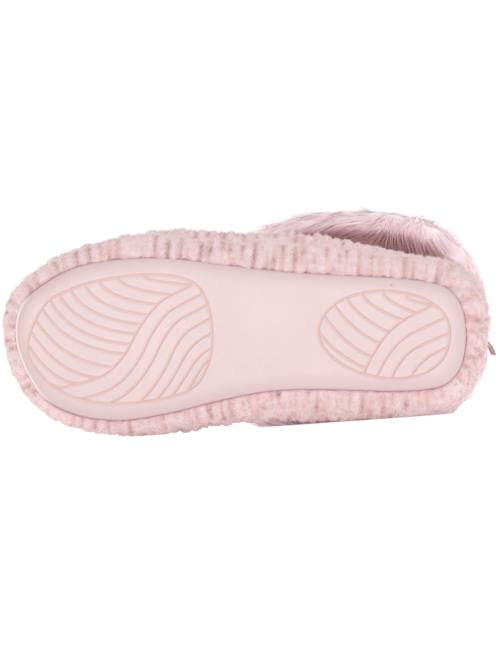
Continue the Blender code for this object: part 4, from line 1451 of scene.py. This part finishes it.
# %% Grow the fuzz
FUZZ_LENGTH = 1.7
FUZZ_WIDTH = 0.28
BAND_FUZZ = 60000
BODY_FUZZ = 60000
FUZZ_STAND = 0.6
FUZZ_NAP = 0.6
FUZZ_JITTER = 0.2
FUZZ_ROOT = 0.2
FUZZ_CREASE_SHADE = 0.85
FUZZ_SHADE_SALMON = (0.640, 0.400, 0.375)
FUZZ_ROSE = (0.690, 0.551, 0.558)
FUZZ_TIP = (0.726, 0.606, 0.612)

shaped_normal = surface_normals(plush_skin)
shown_rows = BAND_ROWS + BODY_ROWS - 4
fuzz_size = 0.3 + 0.7 * lobes


def fuzz_piece(name, first_row, last_row, count, seed):
    """The short pile on some rows of the plush."""
    chance = np.random.default_rng(seed)
    skin = plush_skin[first_row:last_row]
    spots = scatter(skin, np.ones(skin.shape[:2]), count, chance)
    root = between(skin, spots)
    normal = unit(between(shaped_normal[first_row:last_row], spots))
    size = FUZZ_LENGTH * between(fuzz_size[first_row:last_row], spots) * chance.uniform(0.5, 1.2, count)
    nap = unit(between(np.gradient(skin, axis=0), spots))
    way = unit(FUZZ_STAND * normal + FUZZ_NAP * nap + FUZZ_JITTER * chance.normal(size=normal.shape))
    curves = np.stack([root - FUZZ_ROOT * normal, root + size[:, None] * way], axis=1)
    across = unit(np.cross(way, normal + FUZZ_JITTER * chance.normal(size=normal.shape)))
    widths = FUZZ_WIDTH * chance.uniform(0.6, 1.3, count)[:, None] * np.array([1.0, 0.0])
    # Painted shade: fuzz in the plush's creases takes a darker salmon.
    out_of_crease_shade = 1.0 - between(crease_shade[first_row:last_row], spots)
    tone = FUZZ_CREASE_SHADE * out_of_crease_shade + (1.0 - FUZZ_CREASE_SHADE) * chance.uniform(size=count)
    piece = strand_piece(name, curves, across, widths, tone)
    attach(piece, "root")
    return piece


fuzz_layers = [
    fuzz_piece("plush_fuzz_band", 0, BAND_ROWS, BAND_FUZZ, 31),
    fuzz_piece("plush_fuzz_body", BAND_ROWS - 1, shown_rows, BODY_FUZZ, 32),
]
fuzz = Finish("plush_fuzz_rose", 0.95, Sheen_Weight=0.05, Specular_IOR_Level=0.05)
fuzz_colour = fuzz.ramp(fuzz.attribute("tone"), (0.1, FUZZ_SHADE_SALMON), (0.85, FUZZ_ROSE))
fuzz.colour(fuzz.mix(fuzz.attribute("along"), fuzz_colour, FUZZ_TIP))
for layer in fuzz_layers:
    fuzz.on(layer)
print("fuzz:", [triangles(layer) for layer in fuzz_layers], "triangles")

# %% [markdown]
# ## The footbed
# Inside lies a soft footbed, foam covered in fleece. It shows only through the collar, but it closes the
# boot. A grid laid into the sole's outline gives its top, a Solidify modifier its thickness, and a
# Subdivision Surface rounds the rim over. Slow lumps make it look trodden rather than cut from board.

# %% Footbed
FOOTBED_THICKNESS = 5.0
FOOTBED_MARGIN = 0.4
FOOTBED_DISH = 1.5
DISH_REACH = 20.0
# The depth, the size and the seed of the trodden lumps.
FOOTBED_LUMPS = ((0.35, 12.0, 41), (0.5, 45.0, 42))
FOOTBED_LOW = (0.78, 0.62, 0.62)
FOOTBED_HIGH = (0.90, 0.75, 0.74)

footbed = start(bpy.ops.mesh.primitive_grid_add, "footbed", x_subdivisions=90, y_subdivisions=34, size=2.0)
plan = into_outline(places_of(footbed), sole_outline + FOOTBED_MARGIN * sole_out)
rim = smooth_step(1.0 - distance_to(plan, fine_edge) / DISH_REACH)
height = SOLE_THICKNESS + 2 * GAP + FOOTBED_THICKNESS + FOOTBED_DISH * (rim - 1.0)
height = height + toe_lift(plan[:, 0])
top = np.column_stack([plan, height])
top[:, 2] += sum(depth * blotches(top, size, seed) for depth, size, seed in FOOTBED_LUMPS)
set_places(footbed, laid(top))
bpy.ops.object.mode_set(mode="EDIT")
bpy.ops.mesh.select_all(action="SELECT")
bpy.ops.mesh.remove_doubles(threshold=0.0001)
bpy.ops.mesh.normals_make_consistent(inside=False)
bpy.ops.object.mode_set(mode="OBJECT")
if footbed.data.polygons[0].normal.dot(Vector(laid_way([0.0, 0.0, 1.0]))) < 0.0:
    footbed.data.flip_normals()
thickness = footbed.modifiers.new("thickness", "SOLIDIFY")
thickness.thickness = FOOTBED_THICKNESS * MM
thickness.offset = -1.0
rounding = footbed.modifiers.new("rounding", "SUBSURF")
rounding.levels = 1
rounding.render_levels = 1
for modifier in ("thickness", "rounding"):
    bpy.ops.object.modifier_apply(modifier=modifier)
shade_smooth(footbed)
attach(footbed, "root")
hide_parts("insole")

fleece = Finish("footbed_fleece_pink", 0.95, Sheen_Weight=0.3, Specular_IOR_Level=0.1)
fleece.colour(fleece.ramp(fleece.noise(3.0, 3.0), (0.3, FOOTBED_LOW), (0.7, FOOTBED_HIGH)))
fleece.bump(fleece.noise(1.6, 3.0), 0.8)
fleece.on(footbed)
print("footbed:", triangles(footbed), "triangles")

# %% [markdown]
# ## The sewn seam
# Sole and plush are sewn together, and short dark dashes show along the seam. Each dash is partly a stitch
# of thread and partly painted shade: the thread is coloured dark for the shade in the stitch holes between
# the tufts. One stitch is modelled from a thin six-sided cylinder with its ends drawn in, and copied along
# both sides of the sole, each copy turned along the seam. No thread shows round the toe and the back of the
# heel.

# %% Stitches
STITCH_PITCH = 6.0
STITCH_LENGTH = 3.0
THREAD_RADIUS = 0.3
FIRST_STITCH = 12.0
LAST_STITCH = 212.0
STITCH_END = 0.25
END_RISE = 0.4
END_TAPER = 0.45
SEAM_OFFSET = 0.25
SEAM_SINK = 0.1
THREAD_SHADE_LOW = (0.375, 0.203, 0.217)
THREAD_SHADE_HIGH = (0.555, 0.33, 0.345)

stitch = start(
    bpy.ops.mesh.primitive_cylinder_add,
    "sole_stitches",
    vertices=6,
    radius=THREAD_RADIUS * MM,
    depth=0.5 * STITCH_LENGTH * MM,
    rotation=(0.0, 0.5 * math.pi, 0.0),
)
bpy.ops.object.transform_apply(location=True, rotation=True, scale=True)
for end in (-1.0, 1.0):
    choose(stitch, "FACE", [face.normal.x * end > 0.9 for face in stitch.data.polygons])
    reach = (end * STITCH_END * STITCH_LENGTH * MM, 0.0, END_RISE * THREAD_RADIUS * MM)
    bpy.ops.mesh.extrude_region_move(TRANSFORM_OT_translate={"value": reach})
    bpy.ops.transform.resize(value=(1.0, END_TAPER, END_TAPER))
    bpy.ops.object.mode_set(mode="OBJECT")

seam_path = sole_outline + SEAM_OFFSET * sole_out
seam_line = resample(np.vstack([seam_path, seam_path[:1]]), 4000)
seam_run = length_along(seam_line)
stitch_count = int(seam_run[-1] / STITCH_PITCH)
copies = []
for number in range(stitch_count):
    at = (number + 0.5) * seam_run[-1] / stitch_count
    here, ahead = (
        np.array([np.interp(at + step, seam_run, axis) for axis in seam_line.T]) for step in (0.0, 0.5)
    )
    if not FIRST_STITCH < here[0] < LAST_STITCH:
        continue
    low = SOLE_EDGE_RISE + toe_lift(here[0]) - SEAM_SINK
    along_way = Vector(laid_way([*(ahead - here), toe_lift(ahead[0]) - toe_lift(here[0])])).normalized()
    up_way = Vector(laid_way([0.0, 0.0, 1.0]))
    side_way = up_way.cross(along_way).normalized()
    turn = Matrix((along_way, side_way, along_way.cross(side_way))).transposed().to_4x4()
    copy = stitch.copy()
    copy.data = stitch.data.copy()
    copy.data.transform(Matrix.Translation(Vector(laid([*here, low]))) @ turn)
    scene.collection.objects.link(copy)
    copies.append(copy)
bpy.data.objects.remove(stitch)
bpy.ops.object.select_all(action="DESELECT")
for copy in copies:
    copy.select_set(True)
bpy.context.view_layer.objects.active = copies[0]
bpy.ops.object.join()
stitches = bpy.context.object
stitches.name = "sole_stitches"
shade_smooth(stitches)
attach(stitches, "root")

# Painted shade: the thread's dark mauve also stands for the shade in the stitch holes between the tufts.
thread = Finish("seam_thread_shade_mauve", 0.8, Specular_IOR_Level=0.2)
thread.colour(thread.ramp(thread.noise(0.6, 2.0), (0.3, THREAD_SHADE_LOW), (0.7, THREAD_SHADE_HIGH)))
thread.bump(thread.noise(0.3, 2.0), 0.1)
thread.on(stitches)
print(len(copies), "stitches,", triangles(stitches), "triangles")

# %% [markdown]
# ## The ribbon tab
# A short ribbon is folded double and sewn into the back seam. Seen edge on, as in the picture, its two
# plies lie together like a hairpin. One plane is extruded along that hairpin, out and back, and a
# Solidify modifier gives the ribbon its thickness.

# %% Tab
TAB_HEIGHT = 52.0
TAB_WIDTH = 14.0
TAB_LENGTH = 12.5
TAB_SIDE = -2.5
TAB_TURNS_DEG = (32.0, 76.0)
PLY_THICKNESS = 0.75
PLY_OFFSET = 0.5
TAB_STEPS = 8
TAB_ROOT = 2.0
FOLD_REACH = 0.8
RIB_PITCH = 2.2

tab_heights = TAB_HEIGHT + np.linspace(-0.5, 0.5, 5) * TAB_WIDTH
back_line = meridians[:, AROUND // 2]
over_widest = back_line[:, 2] >= WIDEST_HEIGHT
seat = np.interp(tab_heights, back_line[over_widest, 2], back_line[over_widest, 0]).min()
bend = np.radians(np.linspace(*TAB_TURNS_DEG, TAB_STEPS + 1))
ways = np.stack([-np.cos(bend), -np.sin(bend)], axis=1)
steps = np.vstack([np.zeros(2), np.cumsum(ways[:-1], axis=0)])
middle = np.array([seat, TAB_SIDE]) + steps * TAB_LENGTH / TAB_STEPS
middle = np.vstack([middle[0] - TAB_ROOT * ways[0], middle])
ways = np.vstack([ways[:1], ways])
sides = np.stack([-ways[:, 1], ways[:, 0]], axis=1) * PLY_OFFSET
fold = middle[-1] + FOLD_REACH * ways[-1] * PLY_OFFSET
hairpin = np.vstack([middle + sides, [fold], (middle - sides)[::-1]])

tab = start(bpy.ops.mesh.primitive_plane_add, "heel_ribbon", size=1.0)
low, high = TAB_HEIGHT - 0.5 * TAB_WIDTH, TAB_HEIGHT + 0.5 * TAB_WIDTH
first = [(*hairpin[0], low), (*hairpin[1], low), (*hairpin[0], high), (*hairpin[1], high)]
set_places(tab, laid(first))
choose(tab, "EDGE", [set(edge.vertices) == {1, 3} for edge in tab.data.edges])
for before, after in zip(hairpin[1:-1], hairpin[2:]):
    step = MM * laid_way([*(after - before), 0.0])
    bpy.ops.mesh.extrude_region_move(TRANSFORM_OT_translate={"value": tuple(step)})
bpy.ops.mesh.select_all(action="SELECT")
bpy.ops.mesh.subdivide(number_cuts=1)
bpy.ops.mesh.normals_make_consistent(inside=False)
bpy.ops.object.mode_set(mode="OBJECT")
ply = tab.modifiers.new("ply", "SOLIDIFY")
ply.thickness = PLY_THICKNESS * MM
ply.offset = 0.0
bpy.ops.object.modifier_apply(modifier="ply")
shade_smooth(tab)
bpy.ops.object.shade_smooth_by_angle(angle=math.radians(50))
own = (places_of(tab) - LYING_PLACE) @ LYING_TURN / MM
mark(tab, "across", (own[:, 2] - low) / TAB_WIDTH)
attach(tab, "root")
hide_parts("heel_tab")

ribbon = Finish("ribbon_rosewood", 0.6, Sheen_Weight=0.3, Specular_IOR_Level=0.3)
rib = ribbon.nodes.new("ShaderNodeTexWave")
rib.inputs["Scale"].default_value = 1.0 / (RIB_PITCH * MM)
rib.inputs["Distortion"].default_value = 0.6
rib.bands_direction = "Y"
ribbon.links.new(ribbon.place, rib.inputs["Vector"])
stripe = ribbon.ramp(
    ribbon.attribute("across"),
    (0.0, (0.51, 0.315, 0.33)),
    (0.12, (0.33, 0.18, 0.195)),
    (0.5, (0.255, 0.135, 0.15)),
    (0.88, (0.33, 0.18, 0.195)),
)
rib_colour = ribbon.ramp(rib.outputs["Fac"], (0.2, (0.195, 0.105, 0.112)), (0.8, (0.63, 0.405, 0.42)))
ribbon.colour(ribbon.mix(0.25, stripe, rib_colour))
ribbon.bump(rib.outputs["Fac"], 0.15)
ribbon.on(tab)
print("tab:", triangles(tab), "triangles")
